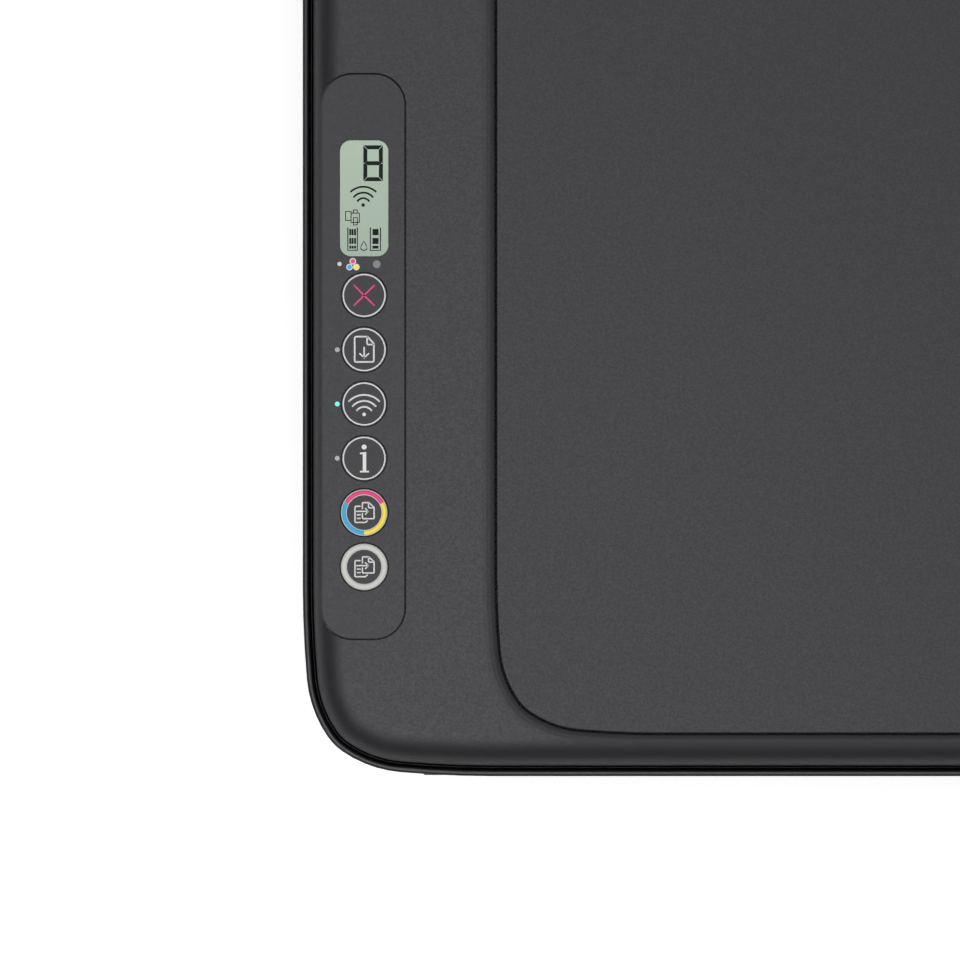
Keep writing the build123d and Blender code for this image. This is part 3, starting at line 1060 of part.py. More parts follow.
with BuildPart() as scan_head:
    bar = (SCAN_HEAD_X - SCAN_HEAD_WIDTH / 2, SCAN_HEAD_X + SCAN_HEAD_WIDTH / 2)
    block(bar, (GLASS_FRONT + 3, GLASS_BACK - 3), (SCAN_ROD_Z + 4, BED_UNDERSIDE - 0.8))
    block((SCAN_HEAD_X - 3, SCAN_HEAD_X + 3), (GLASS_FRONT + 6, GLASS_BACK - 6), (BED_UNDERSIDE - 2.8, BED_TOP), Mode.SUBTRACT)
    block(bar, (SCAN_ROD_Y - 7, SCAN_ROD_Y + 7), (SCAN_ROD_Z - 4.5, SCAN_ROD_Z + 5))
    rod("x", SCAN_ROD_RADIUS + RUN, (-135, -100), (SCAN_ROD_Y, SCAN_ROD_Z), Mode.SUBTRACT)
    run_y = SCAN_BELT_Y + SCAN_PULLEY_RADIUS + PULLEY_GAP
    for y in (run_y - 0.3 - 1.5, run_y + SCAN_BELT_THICKNESS + 0.3):
        block((SCAN_HEAD_X - 5, SCAN_HEAD_X + 5), (y, y + 1.5), (SCAN_BELT_BOTTOM + 1, SCAN_ROD_Z + 5))
keep(scan_head, "scan_head")

# ----------------------------------------------------------------- control panel
with BuildPart() as control_panel:
    extrude(panel_outline(0, PANEL_SEAT), amount=PANEL_THICKNESS, dir=(0, 0, 1))
    fillet(control_panel.faces().sort_by(Axis.Z)[-1].edges(), 0.35)
    through = Plane.XY.offset(PANEL_SEAT - 1)
    for (x, y), radius in zip(KEY_PLACES, KEY_RADII):
        rod("z", radius + KEY_GAP, (PANEL_SEAT - 1, PANEL_TOP + 1), (x, y), Mode.SUBTRACT)
    for place in LIGHT_PLACES:
        rod("z", LIGHT_RADIUS + 0.05, (PANEL_SEAT - 1, PANEL_TOP + 1), place, Mode.SUBTRACT)
    with BuildSketch(through):
        with Locations(DISPLAY_PLACE):
            RectangleRounded(DISPLAY_WIDTH + 0.3, DISPLAY_LENGTH + 0.3, DISPLAY_RADIUS + 0.15)
    extrude(amount=PANEL_THICKNESS + 2, mode=Mode.SUBTRACT)
keep(control_panel, "control_panel")

with BuildPart() as display:
    with BuildSketch(Plane.XY.offset(PANEL_SEAT - 1.5)):
        with Locations(DISPLAY_PLACE):
            RectangleRounded(DISPLAY_WIDTH, DISPLAY_LENGTH, DISPLAY_RADIUS)
    extrude(amount=PANEL_THICKNESS + 1.5 - 0.1)
    centre = DISPLAY_PLACE[1]
    block((KEY_X - 9, KEY_X + 9), (centre - 19, centre + 19), (PANEL_SEAT - 3.5, PANEL_SEAT - 0.1))
keep(display, "display")

with BuildPart() as key_board:
    block((LEFT + 9, LEFT + 26.5), (PANEL_FRONT + 6, 44), (KEY_BOARD_Z, KEY_BOARD_Z + 1.6))
    fillet(key_board.edges().filter_by(Axis.Z), 5.5)
    for x, y in KEY_PLACES:
        block((x - 3, x + 3), (y - 3, y + 3), (KEY_BOARD_Z + 1, KEY_BOARD_Z + 2.6))
keep(key_board, "key_board")

with BuildPart() as indicator_lights:
    for x, y in LIGHT_PLACES:
        rod("z", LIGHT_RADIUS, (PANEL_SEAT - 2, PANEL_TOP), (x, y))
keep(indicator_lights, "indicator_lights")

for label, (x, y), radius in zip(KEY_NAMES, KEY_PLACES, KEY_RADII):
    with BuildPart() as key:
        rod("z", radius, (PANEL_SEAT - 1.6, PANEL_TOP + 0.35), (x, y))
        fillet(key.faces().sort_by(Axis.Z)[-1].edges(), 0.2)
        block((x - 2, x + 2), (y - radius - 0.6, y + radius + 0.6), (PANEL_SEAT - 1.6, PANEL_SEAT - 0.3))
        rod("z", 1.5, (KEY_BOARD_Z + 2.6 + KEY_TRAVEL + 0.2, PANEL_SEAT), (x, y))
    keep(key, label)

# ==================================================================== scanner lid
LID_SIDE_BOTTOM = BED_TOP + 0.6
with BuildPart() as lid_stock:
    block((LEFT, RIGHT), (FRONT, LID_HINGE_Y), (LID_SIDE_BOTTOM, CASE_HEIGHT))
    rod("x", CASE_HEIGHT - LID_HINGE_Z, (LEFT, RIGHT), (LID_HINGE_Y, LID_HINGE_Z))
with BuildPart() as lid_cover:
    extrude(lid_outline(0, LID_SIDE_BOTTOM - 2), amount=CASE_HEIGHT - LID_SIDE_BOTTOM + 2, dir=(0, 0, 1))
    fillet(lid_cover.faces().sort_by(Axis.Z)[-1].edges(), 0.4)
    add(lid_stock.part, mode=Mode.INTERSECT)
    extrude(
        lid_outline(LID_SKIRT, LID_SIDE_BOTTOM - 6),
        amount=CASE_HEIGHT - LID_SKIN - LID_SIDE_BOTTOM + 6,
        dir=(0, 0, 1),
        mode=Mode.SUBTRACT,
    )
    block((LEFT, RIGHT), (LID_HINGE_Y, BACK), (LID_SIDE_BOTTOM - 6, LID_HINGE_Z - 1.2), Mode.SUBTRACT)
    for x in LID_HINGE_PLACES:
        gap = (x - EAR / 2 - 0.4, x + EAR / 2 + 0.4)
        for near in (gap[0] - EAR, gap[1]):
            lug = (near, near + EAR)
            rod("x", 3.2, lug, (LID_HINGE_Y, LID_HINGE_Z))
            block(lug, (LID_HINGE_Y - 2, LID_HINGE_Y + 2), (LID_HINGE_Z, CASE_HEIGHT - 1))
            rod("x", 1.2 + RUN, lug, (LID_HINGE_Y, LID_HINGE_Z), Mode.SUBTRACT)
        rod("x", LID_HINGE_RADIUS + 0.4, gap, (LID_HINGE_Y, LID_HINGE_Z), Mode.SUBTRACT)
        # the ear stands where this stretch of the rear edge would swing
        block(gap, (LID_HINGE_Y, BACK), (LID_SIDE_BOTTOM - 6, LID_HINGE_Z + LID_HINGE_RADIUS + 0.2), Mode.SUBTRACT)
keep(lid_cover, "lid_cover")

with BuildPart() as lid_hinge_pins:
    for x in LID_HINGE_PLACES:
        reach = 1.5 * EAR
        rod("x", 1.2, (x - reach, x + reach), (LID_HINGE_Y, LID_HINGE_Z))
keep(lid_hinge_pins, "lid_hinge_pins")

MAT_BOTTOM = BED_TOP + 0.3
with BuildPart() as lid_liner:
    extrude(
        lid_outline(LID_SKIRT + 0.4, MAT_BOTTOM + MAT_THICKNESS),
        amount=CASE_HEIGHT - LID_SKIN - MAT_BOTTOM - MAT_THICKNESS,
        dir=(0, 0, 1),
    )
    add(half_space(GLASS_BACK - 2, True), mode=Mode.SUBTRACT)
    extrude(
        lid_outline(LID_SKIRT + 2, MAT_BOTTOM + MAT_THICKNESS + 1.6),
        amount=10,
        dir=(0, 0, 1),
        mode=Mode.SUBTRACT,
    )
keep(lid_liner, "lid_liner")

with BuildPart() as lid_mat:
    block((GLASS_LEFT - 2, GLASS_RIGHT + 2), (GLASS_FRONT - 1, GLASS_BACK - 3), (MAT_BOTTOM, MAT_BOTTOM + MAT_THICKNESS))
    fillet(lid_mat.edges().filter_by(Axis.Z), 4)
keep(lid_mat, "lid_mat")

if __name__ == "__main__":
    os.makedirs("parts", exist_ok=True)
    for piece in pieces:
        export_step(piece, f"parts/{piece.label}.step")
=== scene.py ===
# %% [markdown]
# # Dressing a compact inkjet printer
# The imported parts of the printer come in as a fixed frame: every moulding, shaft, gear and key is
# already in its place and knows the body that it moves with. What is missing is everything that the
# eye reads as "real": the grain of the plastic, the printed icons, the liquid crystal display, the
# metal, rubber and glass inside, and the light. This lesson adds them one step at a time.

import json
from math import cos, radians, sin

import bmesh
import bpy
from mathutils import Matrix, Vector


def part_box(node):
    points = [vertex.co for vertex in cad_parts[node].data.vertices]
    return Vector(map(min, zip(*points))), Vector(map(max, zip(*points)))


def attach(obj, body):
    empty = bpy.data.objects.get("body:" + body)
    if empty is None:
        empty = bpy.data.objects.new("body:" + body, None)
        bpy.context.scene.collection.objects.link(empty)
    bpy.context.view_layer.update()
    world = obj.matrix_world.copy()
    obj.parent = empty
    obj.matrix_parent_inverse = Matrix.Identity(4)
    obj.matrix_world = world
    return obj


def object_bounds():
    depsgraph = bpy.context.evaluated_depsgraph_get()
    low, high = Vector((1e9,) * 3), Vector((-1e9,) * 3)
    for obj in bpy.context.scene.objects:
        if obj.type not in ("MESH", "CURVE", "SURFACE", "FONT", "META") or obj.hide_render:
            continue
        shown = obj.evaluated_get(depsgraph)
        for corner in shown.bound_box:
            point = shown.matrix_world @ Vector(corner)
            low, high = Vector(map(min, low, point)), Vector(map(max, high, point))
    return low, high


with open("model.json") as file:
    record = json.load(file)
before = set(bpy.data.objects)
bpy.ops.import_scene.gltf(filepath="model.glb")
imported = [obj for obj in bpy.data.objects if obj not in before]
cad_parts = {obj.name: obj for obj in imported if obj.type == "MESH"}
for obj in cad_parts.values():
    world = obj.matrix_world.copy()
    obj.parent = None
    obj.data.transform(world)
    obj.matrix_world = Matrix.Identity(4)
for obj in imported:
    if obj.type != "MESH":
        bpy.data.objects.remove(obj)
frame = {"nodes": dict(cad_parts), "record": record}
cad_box = [list(corner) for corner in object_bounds()]
record = frame["record"]
nodes = frame["nodes"]
scene = bpy.context.scene
print("nodes", len(nodes), "box", [[round(v, 4) for v in corner] for corner in cad_box])

# %% [markdown]
# ## Small tools
# A colour is written as the hex value that a paint chart or a screen shows. Blender mixes light in
# linear values, so one function turns the one into the other. The second function adds a node to any
# tree, with its settings, its socket values and its links, which keeps each material to a few lines.
# The last three set what nearly every skin has: a colour and a roughness that drift, and a fine relief.

# %% Colour and node tools
MM = 0.001


def colour(hex_value):
    """A hex colour as linear red, green, blue and full opacity."""
    channels = [int(hex_value[start : start + 2], 16) / 255 for start in (1, 3, 5)]
    return [c / 12.92 if c <= 0.04045 else ((c + 0.055) / 1.055) ** 2.4 for c in channels] + [1.0]


def place(tree, kind, values=None, links=None, **settings):
    """Adds one node: settings are its own options, values its sockets, links what feeds them."""
    node = tree.nodes.new(kind)
    for name, value in settings.items():
        setattr(node, name, value)
    for name, value in (values or {}).items():
        node.inputs[name].default_value = value
    for name, socket in (links or {}).items():
        tree.links.new(socket, node.inputs[name])
    return node


def start_material(name, hex_value, roughness, metallic=0.0, ior=1.5):
    """A material with its plain values set, its tree, its shader and its Object coordinates."""
    material = bpy.data.materials.new(name)
    material.use_nodes = True
    tree = material.node_tree
    skin = tree.nodes["Principled BSDF"]
    skin.inputs["Base Color"].default_value = colour(hex_value)
    skin.inputs["Roughness"].default_value = roughness
    skin.inputs["Metallic"].default_value = metallic
    skin.inputs["IOR"].default_value = ior
    return material, tree, skin, place(tree, "ShaderNodeTexCoord").outputs["Object"]


def colour_between(tree, skin, low_hex, high_hex, factor):
    """A base colour that runs from one hex colour to another with the factor."""
    shade = place(tree, "ShaderNodeMix", {6: colour(low_hex), 7: colour(high_hex)}, {0: factor},
                  data_type="RGBA")
    tree.links.new(shade.outputs[2], skin.inputs["Base Color"])
    return shade.outputs[2]


def roughness_between(tree, skin, low, high, factor, span=(0.0, 1.0)):
    """A roughness that runs from low to high while the factor crosses its span."""
    dull = place(tree, "ShaderNodeMapRange",
                 {"From Min": span[0], "From Max": span[1], "To Min": low, "To Max": high}, {"Value": factor})
    tree.links.new(dull.outputs["Result"], skin.inputs["Roughness"])


def relief(tree, skin, strength, depth, height):
    """A bump on the skin, whose depth is the real one in millimetres."""
    bump = place(tree, "ShaderNodeBump", {"Strength": strength, "Distance": depth * MM}, {"Height": height})
    tree.links.new(bump.outputs["Normal"], skin.inputs["Normal"])


# %% [markdown]
# ## Camera
# The control panel is read from straight above, so the camera hangs over the front left corner and
# looks down. A very long lens from far away keeps the sides of the printer upright in the picture,
# where a short lens would lean them outwards.

# %% Camera over the control panel
# the middle and the width of the view are in metres, the lens and its sensor in millimetres
VIEW_CENTRE = (-0.1609, -0.0658)
VIEW_WIDTH = 0.2784
LENS = 1500.0
SENSOR = 36.0
FAR_ENOUGH = 1000.0
camera_data = bpy.data.cameras.new("overhead_camera")
camera_data.lens = LENS
camera_data.sensor_width = SENSOR
camera_data.clip_end = FAR_ENOUGH
camera = bpy.data.objects.new("overhead_camera", camera_data)
camera.location = (*VIEW_CENTRE, cad_box[1][2] + VIEW_WIDTH * LENS / SENSOR)
scene.collection.objects.link(camera)
scene.camera = camera
scene.view_settings.view_transform = "Standard"
print("camera at", [round(v, 3) for v in camera.location])

# %% [markdown]
# ## Light and floor
# Black plastic shows its shape by what it mirrors, not by its own colour. A softbox that hangs low over
# the control panel lays a broad sheen on the flat top, which fades across the lid and drops away where
# the edges turn down; there the plastics also take part of their sheen off, a painted shade. A wide
# ceiling light and a weak white surround fill the rest. The floor and the world turn white where the
# camera sees them, also in mirrors and glass, and the floor still takes the shadow of the printer.

# %% Soft lamps


def soft_lamp(name, at, size, watts):
    """A square lamp that hangs at a place and faces straight down."""
    data = bpy.data.lights.new(name, "AREA")
    data.shape = "SQUARE"
    data.size = size
    data.energy = watts
    lamp = bpy.data.objects.new(name, data)
    lamp.location = at
    lamp.visible_camera = False
    scene.collection.objects.link(lamp)
    return lamp


lamps = [
    soft_lamp("panel_softbox", (-0.30, -0.27, 1.05), 0.60, 4.6),
    soft_lamp("ceiling_softbox", (0.0, 0.1, 2.40), 3.8, 50.0),
]
print("lamps", [lamp.name for lamp in lamps])

# %% World and floor
SURROUND_GLOW = 0.08
FLOOR_GLOW = 0.5
FLOOR_REACH = 4.0
WHITE = (1.0, 1.0, 1.0, 1.0)
world = bpy.data.worlds.new("white_studio")
world.use_nodes = True
scene.world = world
sky = world.node_tree
sky_light = sky.nodes["Background"]
sky_light.inputs["Color"].default_value = WHITE
path = place(sky, "ShaderNodeLightPath")
seen = place(sky, "ShaderNodeMath", {},
             {0: path.outputs["Is Camera Ray"], 1: path.outputs["Is Transmission Ray"]}, operation="MAXIMUM")
strength = place(sky, "ShaderNodeMapRange", {"To Min": SURROUND_GLOW, "To Max": 1.0},
                 {"Value": seen.outputs[0]})
sky.links.new(strength.outputs["Result"], sky_light.inputs["Strength"])

floor_mesh = bpy.data.meshes.new("studio_floor")
floor_corners = [(x * FLOOR_REACH, y * FLOOR_REACH, 0) for x, y in ((-1, -1), (1, -1), (1, 1), (-1, 1))]
floor_mesh.from_pydata(floor_corners, [], [(0, 1, 2, 3)])
floor = bpy.data.objects.new("studio_floor", floor_mesh)
scene.collection.objects.link(floor)
floor_paint, floor_tree, floor_skin, _ = start_material("matt_white_paint", "#F4F4F4", 0.9)
floor_path = place(floor_tree, "ShaderNodeLightPath")
floor_seen = place(floor_tree, "ShaderNodeMath", {},
                   {0: floor_path.outputs["Is Camera Ray"], 1: floor_path.outputs["Is Glossy Ray"]},
                   operation="MAXIMUM")
floor_clear = place(floor_tree, "ShaderNodeMath", {},
                    {0: floor_seen.outputs[0], 1: floor_path.outputs["Is Transmission Ray"]},
                    operation="MAXIMUM")
floor_lift = place(floor_tree, "ShaderNodeMath", {1: FLOOR_GLOW}, {0: floor_clear.outputs[0]},
                   operation="MULTIPLY")
floor_skin.inputs["Emission Color"].default_value = WHITE
floor_tree.links.new(floor_lift.outputs[0], floor_skin.inputs["Emission Strength"])
floor_mesh.materials.append(floor_paint)

# %% [markdown]
# ## Moulded plastics
# The case of a printer is injection-moulded ABS or polystyrene. The mould is spark-eroded, so the
# plastic comes out with an even matt grain a few tenths of a millimetre across. An image of such a
# grain would repeat and stretch at corners. Noise on Object coordinates never repeats and has a real
# size: a noise scale of 1000 / size gives grains of that many millimetres. A second, slow noise lets
# the shade and the gloss drift a little, as they do in every large moulding.

# %% One recipe for every moulded plastic
GLOSS_DRIFT = 0.05
FULL_SHEEN = 0.5
COOL_SHEEN = (0.95, 0.95, 1.0, 1.0)


def moulded_plastic(name, hex_value, drift_hex, roughness, grain, depth, drift=60.0, edge_loss=0.0):
    """Plastic with a spark-eroded grain: grain, depth and drift are real sizes in millimetres."""
    material, tree, skin, here = start_material(name, hex_value, roughness, ior=1.5)
    slow = place(tree, "ShaderNodeTexNoise", {"Scale": 1000 / drift, "Detail": 3.0},
                 {"Vector": here}).outputs[0]
    fine = place(tree, "ShaderNodeTexNoise", {"Scale": 1000 / grain, "Detail": 1.5, "Roughness": 0.6},
                 {"Vector": here}).outputs[0]
    colour_between(tree, skin, hex_value, drift_hex, slow)
    roughness_between(tree, skin, roughness - GLOSS_DRIFT, roughness + GLOSS_DRIFT, fine, (0.3, 0.7))
    if edge_loss:
        # painted shade: the sheen is turned down where the skin is seen edge on, so that steep slopes read
        # dark
        edge = place(tree, "ShaderNodeLayerWeight", {"Blend": 0.5}).outputs["Facing"]
        sheen = place(tree, "ShaderNodeMapRange",
                      {"From Min": 0.12, "From Max": 0.85, "To Min": FULL_SHEEN,
                       "To Max": FULL_SHEEN - edge_loss},
                      {"Value": edge}, interpolation_type="SMOOTHSTEP")
        tree.links.new(sheen.outputs["Result"], skin.inputs["Specular IOR Level"])
    skin.inputs["Specular Tint"].default_value = COOL_SHEEN
    relief(tree, skin, 0.6, depth, fine)
    return material


finish = {}
# how much sheen the plastics lose where they are seen edge on, a painted shade
EDGE_LOSS = 0.45
# grained black ABS of the deck and the rear, an even matt skin. The real grain is about 0.3 mm; it is
# drawn at 0.7 mm, so that it still shows in a picture of the whole deck
finish["case_plastic"] = moulded_plastic("black_grained_abs", "#161618", "#19191B", 0.54, 0.7, 0.035,
                                         edge_loss=EDGE_LOSS)
# the front and the sides of the lower case, more satin than matt
smooth_case = moulded_plastic("black_satin_abs", "#161618", "#19191B", 0.42, 0.7, 0.012, edge_loss=EDGE_LOSS)
# the lid is the same plastic from another mould, a little blacker and finer
finish["lid_plastic"] = moulded_plastic("lid_grained_abs", "#151517", "#18181A", 0.56, 0.6, 0.03,
                                        edge_loss=EDGE_LOSS)
# the underside pan is the same plastic with a coarser and duller grain
finish["pan_plastic"] = moulded_plastic("pan_grained_abs", "#1B1B1D", "#1F1F21", 0.5, 0.9, 0.05)
# satin ABS of the control panel, nearly smooth, so its icons stay sharp
finish["panel_plastic"] = moulded_plastic("panel_satin_abs", "#161618", "#18181A", 0.54, 0.5, 0.008)
# key caps of hard-coated ABS, smooth and slightly darker than the panel
finish["key_plastic"] = moulded_plastic("key_coated_abs", "#141416", "#161618", 0.55, 0.4, 0.005)
# plain black polystyrene of the parts inside, straight from a polished mould
finish["inner_plastic"] = moulded_plastic("inside_black_polystyrene", "#1E1E20", "#242426", 0.4, 2.0, 0.01)
# light grey acetal of the belt pulleys
finish["pale_plastic"] = moulded_plastic("pulley_grey_acetal", "#B9B9B2", "#C4C4BD", 0.38, 1.5, 0.01)
# natural acetal of the gears: milky white, waxy and smooth
finish["gear_plastic"] = moulded_plastic("gear_white_acetal", "#D6D2C6", "#DEDBD1", 0.35, 1.5, 0.01)
print("plastics", sorted(finish))

# %% [markdown]
# ## Rubber and foam
# The feet and rollers are moulded or ground rubber: dark, dull and slightly uneven. The white mat that
# presses a page on the glass is foam under a smooth vinyl skin, soft enough to show shallow dimples.

# %% Rubber and foam
# moulded rubber of the feet, dull black
finish["foot_rubber"] = moulded_plastic("foot_moulded_rubber", "#1B1B1B", "#222221", 0.8, 0.8, 0.05, 20.0)
# ground rubber of the paper rollers, with the fine tooth that grinding leaves
finish["roller_rubber"] = moulded_plastic("roller_ground_rubber", "#2A2A2B", "#333334", 0.75, 0.5, 0.06, 10.0)
# vinyl-faced foam, white and even
finish["foam_white"] = moulded_plastic("mat_white_vinyl_foam", "#E9E9E6", "#F0F0EE", 0.6, 3.0, 0.12, 80.0)

# %% Toothed belts
# neoprene timing belts: the cogs inside show as ribs, 2 mm by the texture's own measure
RIB_PITCH = 2.0
RADIANS_PER_TURN = 6.283
material, tree, skin, here = start_material("belt_ribbed_neoprene", "#1A1A1A", 0.7)
ribs = place(tree, "ShaderNodeTexWave", {"Scale": 1000 / RIB_PITCH / RADIANS_PER_TURN, "Distortion": 0.0},
             {"Vector": here}, wave_type="BANDS", bands_direction="X").outputs[1]
relief(tree, skin, 0.8, 0.3, ribs)
finish["belt_rubber"] = material

# %% [markdown]
# ## Metals
# Three metals are inside. Shafts and screws are ground steel, whose fine scratches are drawn out along
# the shafts, so a noise is stretched along X. The side plates and the carriage rail are galvanised sheet,
# known by its spangle, flat zinc crystals a few millimetres wide: a Voronoi texture gives each cell a
# tone of its own. The motor cans are drawn and zinc-plated, plain and slightly clouded.

# %% Ground steel
material, tree, skin, here = start_material("ground_steel", "#A9A9AA", 0.28, metallic=1.0)
squeezed = place(tree, "ShaderNodeMapping", {"Scale": (40.0, 2500.0, 2500.0)}, {"Vector": here}).outputs[0]
scratch = place(tree, "ShaderNodeTexNoise", {"Scale": 1.0, "Detail": 2.0}, {"Vector": squeezed}).outputs[0]
roughness_between(tree, skin, 0.2, 0.42, scratch)
relief(tree, skin, 0.3, 0.01, scratch)
finish["bright_steel"] = material

# %% Galvanised sheet
SPANGLE = 5.0
material, tree, skin, here = start_material("galvanised_sheet", "#9A9D9F", 0.4, metallic=1.0)
crystals = place(tree, "ShaderNodeTexVoronoi", {"Scale": 1000 / SPANGLE}, {"Vector": here}, feature="F1")
tone = place(tree, "ShaderNodeSeparateColor", {}, {0: crystals.outputs["Color"]}).outputs[0]
colour_between(tree, skin, "#86898B", "#AEB1B3", tone)
roughness_between(tree, skin, 0.3, 0.5, tone)
finish["sheet_steel"] = material

# %% Zinc-plated motor cans
CLOUD = 12.0
material, tree, skin, here = start_material("zinc_plated_can", "#A6A7A4", 0.35, metallic=1.0)
cloud = place(tree, "ShaderNodeTexNoise", {"Scale": 1000 / CLOUD, "Detail": 3.0}, {"Vector": here}).outputs[0]
roughness_between(tree, skin, 0.28, 0.45, cloud)
finish["motor_can"] = material
print("metals added,", len(finish), "finishes so far")

# %% [markdown]
# ## Glass, circuit board and display
# The scanner bed is clear float glass, faintly green. The boards are fibreglass under green lacquer,
# with copper tracks that show through as lighter lines. The display is an unlit liquid crystal cell:
# a pale grey-green reflector behind a satin polarising film, so it has no shine of its own.

# %% Float glass
SMEAR = 45.0
material, tree, skin, here = start_material("clear_float_glass", "#E4F1EA", 0.02, ior=1.52)
skin.inputs["Transmission Weight"].default_value = 1.0
smear = place(tree, "ShaderNodeTexNoise", {"Scale": 1000 / SMEAR, "Detail": 2.0}, {"Vector": here}).outputs[0]
roughness_between(tree, skin, 0.0, 0.05, smear)
finish["bed_glass"] = material

# %% Lacquered circuit board
TRACK_PITCH = 4.0
SOCKET_START = 131.0
material, tree, skin, here = start_material("green_lacquered_board", "#0E3A24", 0.35)
tracks = place(tree, "ShaderNodeTexBrick",
               {"Scale": 1000 / TRACK_PITCH / 4, "Mortar Size": 0.03, "Color1": colour("#0D3722"),
                "Color2": colour("#10432A"), "Mortar": colour("#2F7A4C")}, {"Vector": here})
# the data socket is soldered to the back edge of the main board, and its shell is tinned steel
along = place(tree, "ShaderNodeSeparateXYZ", {}, {0: here}).outputs["Y"]
shell = place(tree, "ShaderNodeMath", {1: SOCKET_START * MM}, {0: along}, operation="GREATER_THAN").outputs[0]
shade = place(tree, "ShaderNodeMix", {7: colour("#7E8083")}, {0: shell, 6: tracks.outputs["Color"]},
              data_type="RGBA")
tree.links.new(shade.outputs[2], skin.inputs["Base Color"])
tree.links.new(shell, skin.inputs["Metallic"])
relief(tree, skin, 0.4, 0.04, tracks.outputs["Fac"])
finish["circuit_board"] = material

# %% Liquid crystal reflector
# the reflector's colour runs lighter towards the back end
CELL_GRAIN = 0.8
low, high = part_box("display")
material, tree, skin, here = start_material("pale_green_liquid_crystal", "#A2B59F", 0.45)
along = place(tree, "ShaderNodeSeparateXYZ", {}, {0: here}).outputs["Y"]
fade = place(tree, "ShaderNodeMapRange", {"From Min": low.y, "From Max": high.y}, {"Value": along})
colour_between(tree, skin, "#93A593", "#A3B5A2", fade.outputs["Result"])
cell = place(tree, "ShaderNodeTexNoise", {"Scale": 1000 / CELL_GRAIN, "Detail": 1.0},
             {"Vector": here}).outputs[0]
relief(tree, skin, 0.2, 0.005, cell)
finish["display_screen"] = material

# %% Indicator lenses
# clear polycarbonate light pipes: the one beside the wireless key is lit turquoise, and the mask picks
# it by its place along Y
LENS_GLOW = 0.55
wireless_low, wireless_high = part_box("wireless_button")
material, tree, skin, here = start_material("clear_light_pipe", "#8C8C8C", 0.3, ior=1.58)
along = place(tree, "ShaderNodeSeparateXYZ", {}, {0: here}).outputs["Y"]
lit = place(tree, "ShaderNodeMath", {1: (wireless_low.y + wireless_high.y) / 2, 2: 3 * MM}, {0: along},
            operation="COMPARE").outputs[0]
shade = colour_between(tree, skin, "#8A8A8B", "#2FBFB6", lit)
tree.links.new(shade, skin.inputs["Emission Color"])
glow = place(tree, "ShaderNodeMath", {1: LENS_GLOW}, {0: lit}, operation="MULTIPLY").outputs[0]
tree.links.new(glow, skin.inputs["Emission Strength"])
finish["light_lens"] = material
print("finishes", len(finish))

# %% [markdown]
# ## Giving every part its finish
# The record lists each part with the name of its finish, so one loop dresses them all.

# %% Dress the frame
for part in record["subparts"]:
    for material_slot in nodes[part["node"]].material_slots:
        material_slot.material = finish[part["material_slot"]]
# the front of the lower case comes from a smoother mould, so its rim shines a little more than the deck
for material_slot in nodes["body_shell"].material_slots:
    material_slot.material = smooth_case
print("dressed", len(record["subparts"]), "parts")

# %% [markdown]
# ## From modifiers to plain pieces
# The prints that follow are drawn by Geometry Nodes. The exported model keeps only plain meshes, so a
# finished piece is evaluated once, its modifiers are dropped, and it is tied to the body it moves with.

# %% Settle a piece


def settle(piece, body):
    """Turns a piece with its modifiers into a plain mesh and joins it to its body."""
    depsgraph = bpy.context.evaluated_depsgraph_get()
    mesh = bpy.data.meshes.new_from_object(piece.evaluated_get(depsgraph))
    mesh.name = piece.name
    piece.modifiers.clear()
    piece.data = mesh
    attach(piece, body)
    return piece


# %% [markdown]
# ## Printed lines
# The icons on the keys are screen-printed: a film of ink a few hundredths of a millimetre thick, of
# constant line width, with round ends. That is a shape that follows a path, so one Geometry Nodes tree
# draws them all. It turns edges into curves, rounds their corners, sweeps a thin flat bar along them
# and sets a small disc on each open end. Line width, film thickness, corner radius and ink are named
# inputs, and the same tree also draws the coloured rings and the outlines on the display.

# %% The printed line tree
line_tree = bpy.data.node_groups.new("printed_line", "GeometryNodeTree")
sockets = line_tree.interface
sockets.new_socket("Geometry", in_out="INPUT", socket_type="NodeSocketGeometry")
sockets.new_socket("Line Width", in_out="INPUT", socket_type="NodeSocketFloat")
sockets.new_socket("Film Thickness", in_out="INPUT", socket_type="NodeSocketFloat")
sockets.new_socket("Corner Radius", in_out="INPUT", socket_type="NodeSocketFloat")
sockets.new_socket("Round Ends", in_out="INPUT", socket_type="NodeSocketBool")
sockets.new_socket("Ink", in_out="INPUT", socket_type="NodeSocketMaterial")
sockets.new_socket("Geometry", in_out="OUTPUT", socket_type="NodeSocketGeometry")
given = place(line_tree, "NodeGroupInput").outputs
route = place(line_tree, "GeometryNodeMeshToCurve", {}, {"Mesh": given["Geometry"]}).outputs["Curve"]
rounded = place(line_tree, "GeometryNodeFilletCurve", {"Count": 6, "Limit Radius": True},
                {"Curve": route, "Radius": given["Corner Radius"]}, mode="POLY").outputs["Curve"]
level = place(line_tree, "GeometryNodeSetCurveNormal", {}, {"Curve": rounded}, mode="Z_UP").outputs["Curve"]
bar = place(line_tree, "GeometryNodeCurvePrimitiveQuadrilateral", {},
            {"Width": given["Line Width"], "Height": given["Film Thickness"]},
            mode="RECTANGLE").outputs["Curve"]
swept = place(line_tree, "GeometryNodeCurveToMesh", {"Fill Caps": True},
              {"Curve": level, "Profile Curve": bar}).outputs["Mesh"]
half = place(line_tree, "ShaderNodeMath", {1: 0.5}, {0: given["Line Width"]}, operation="MULTIPLY").outputs[0]
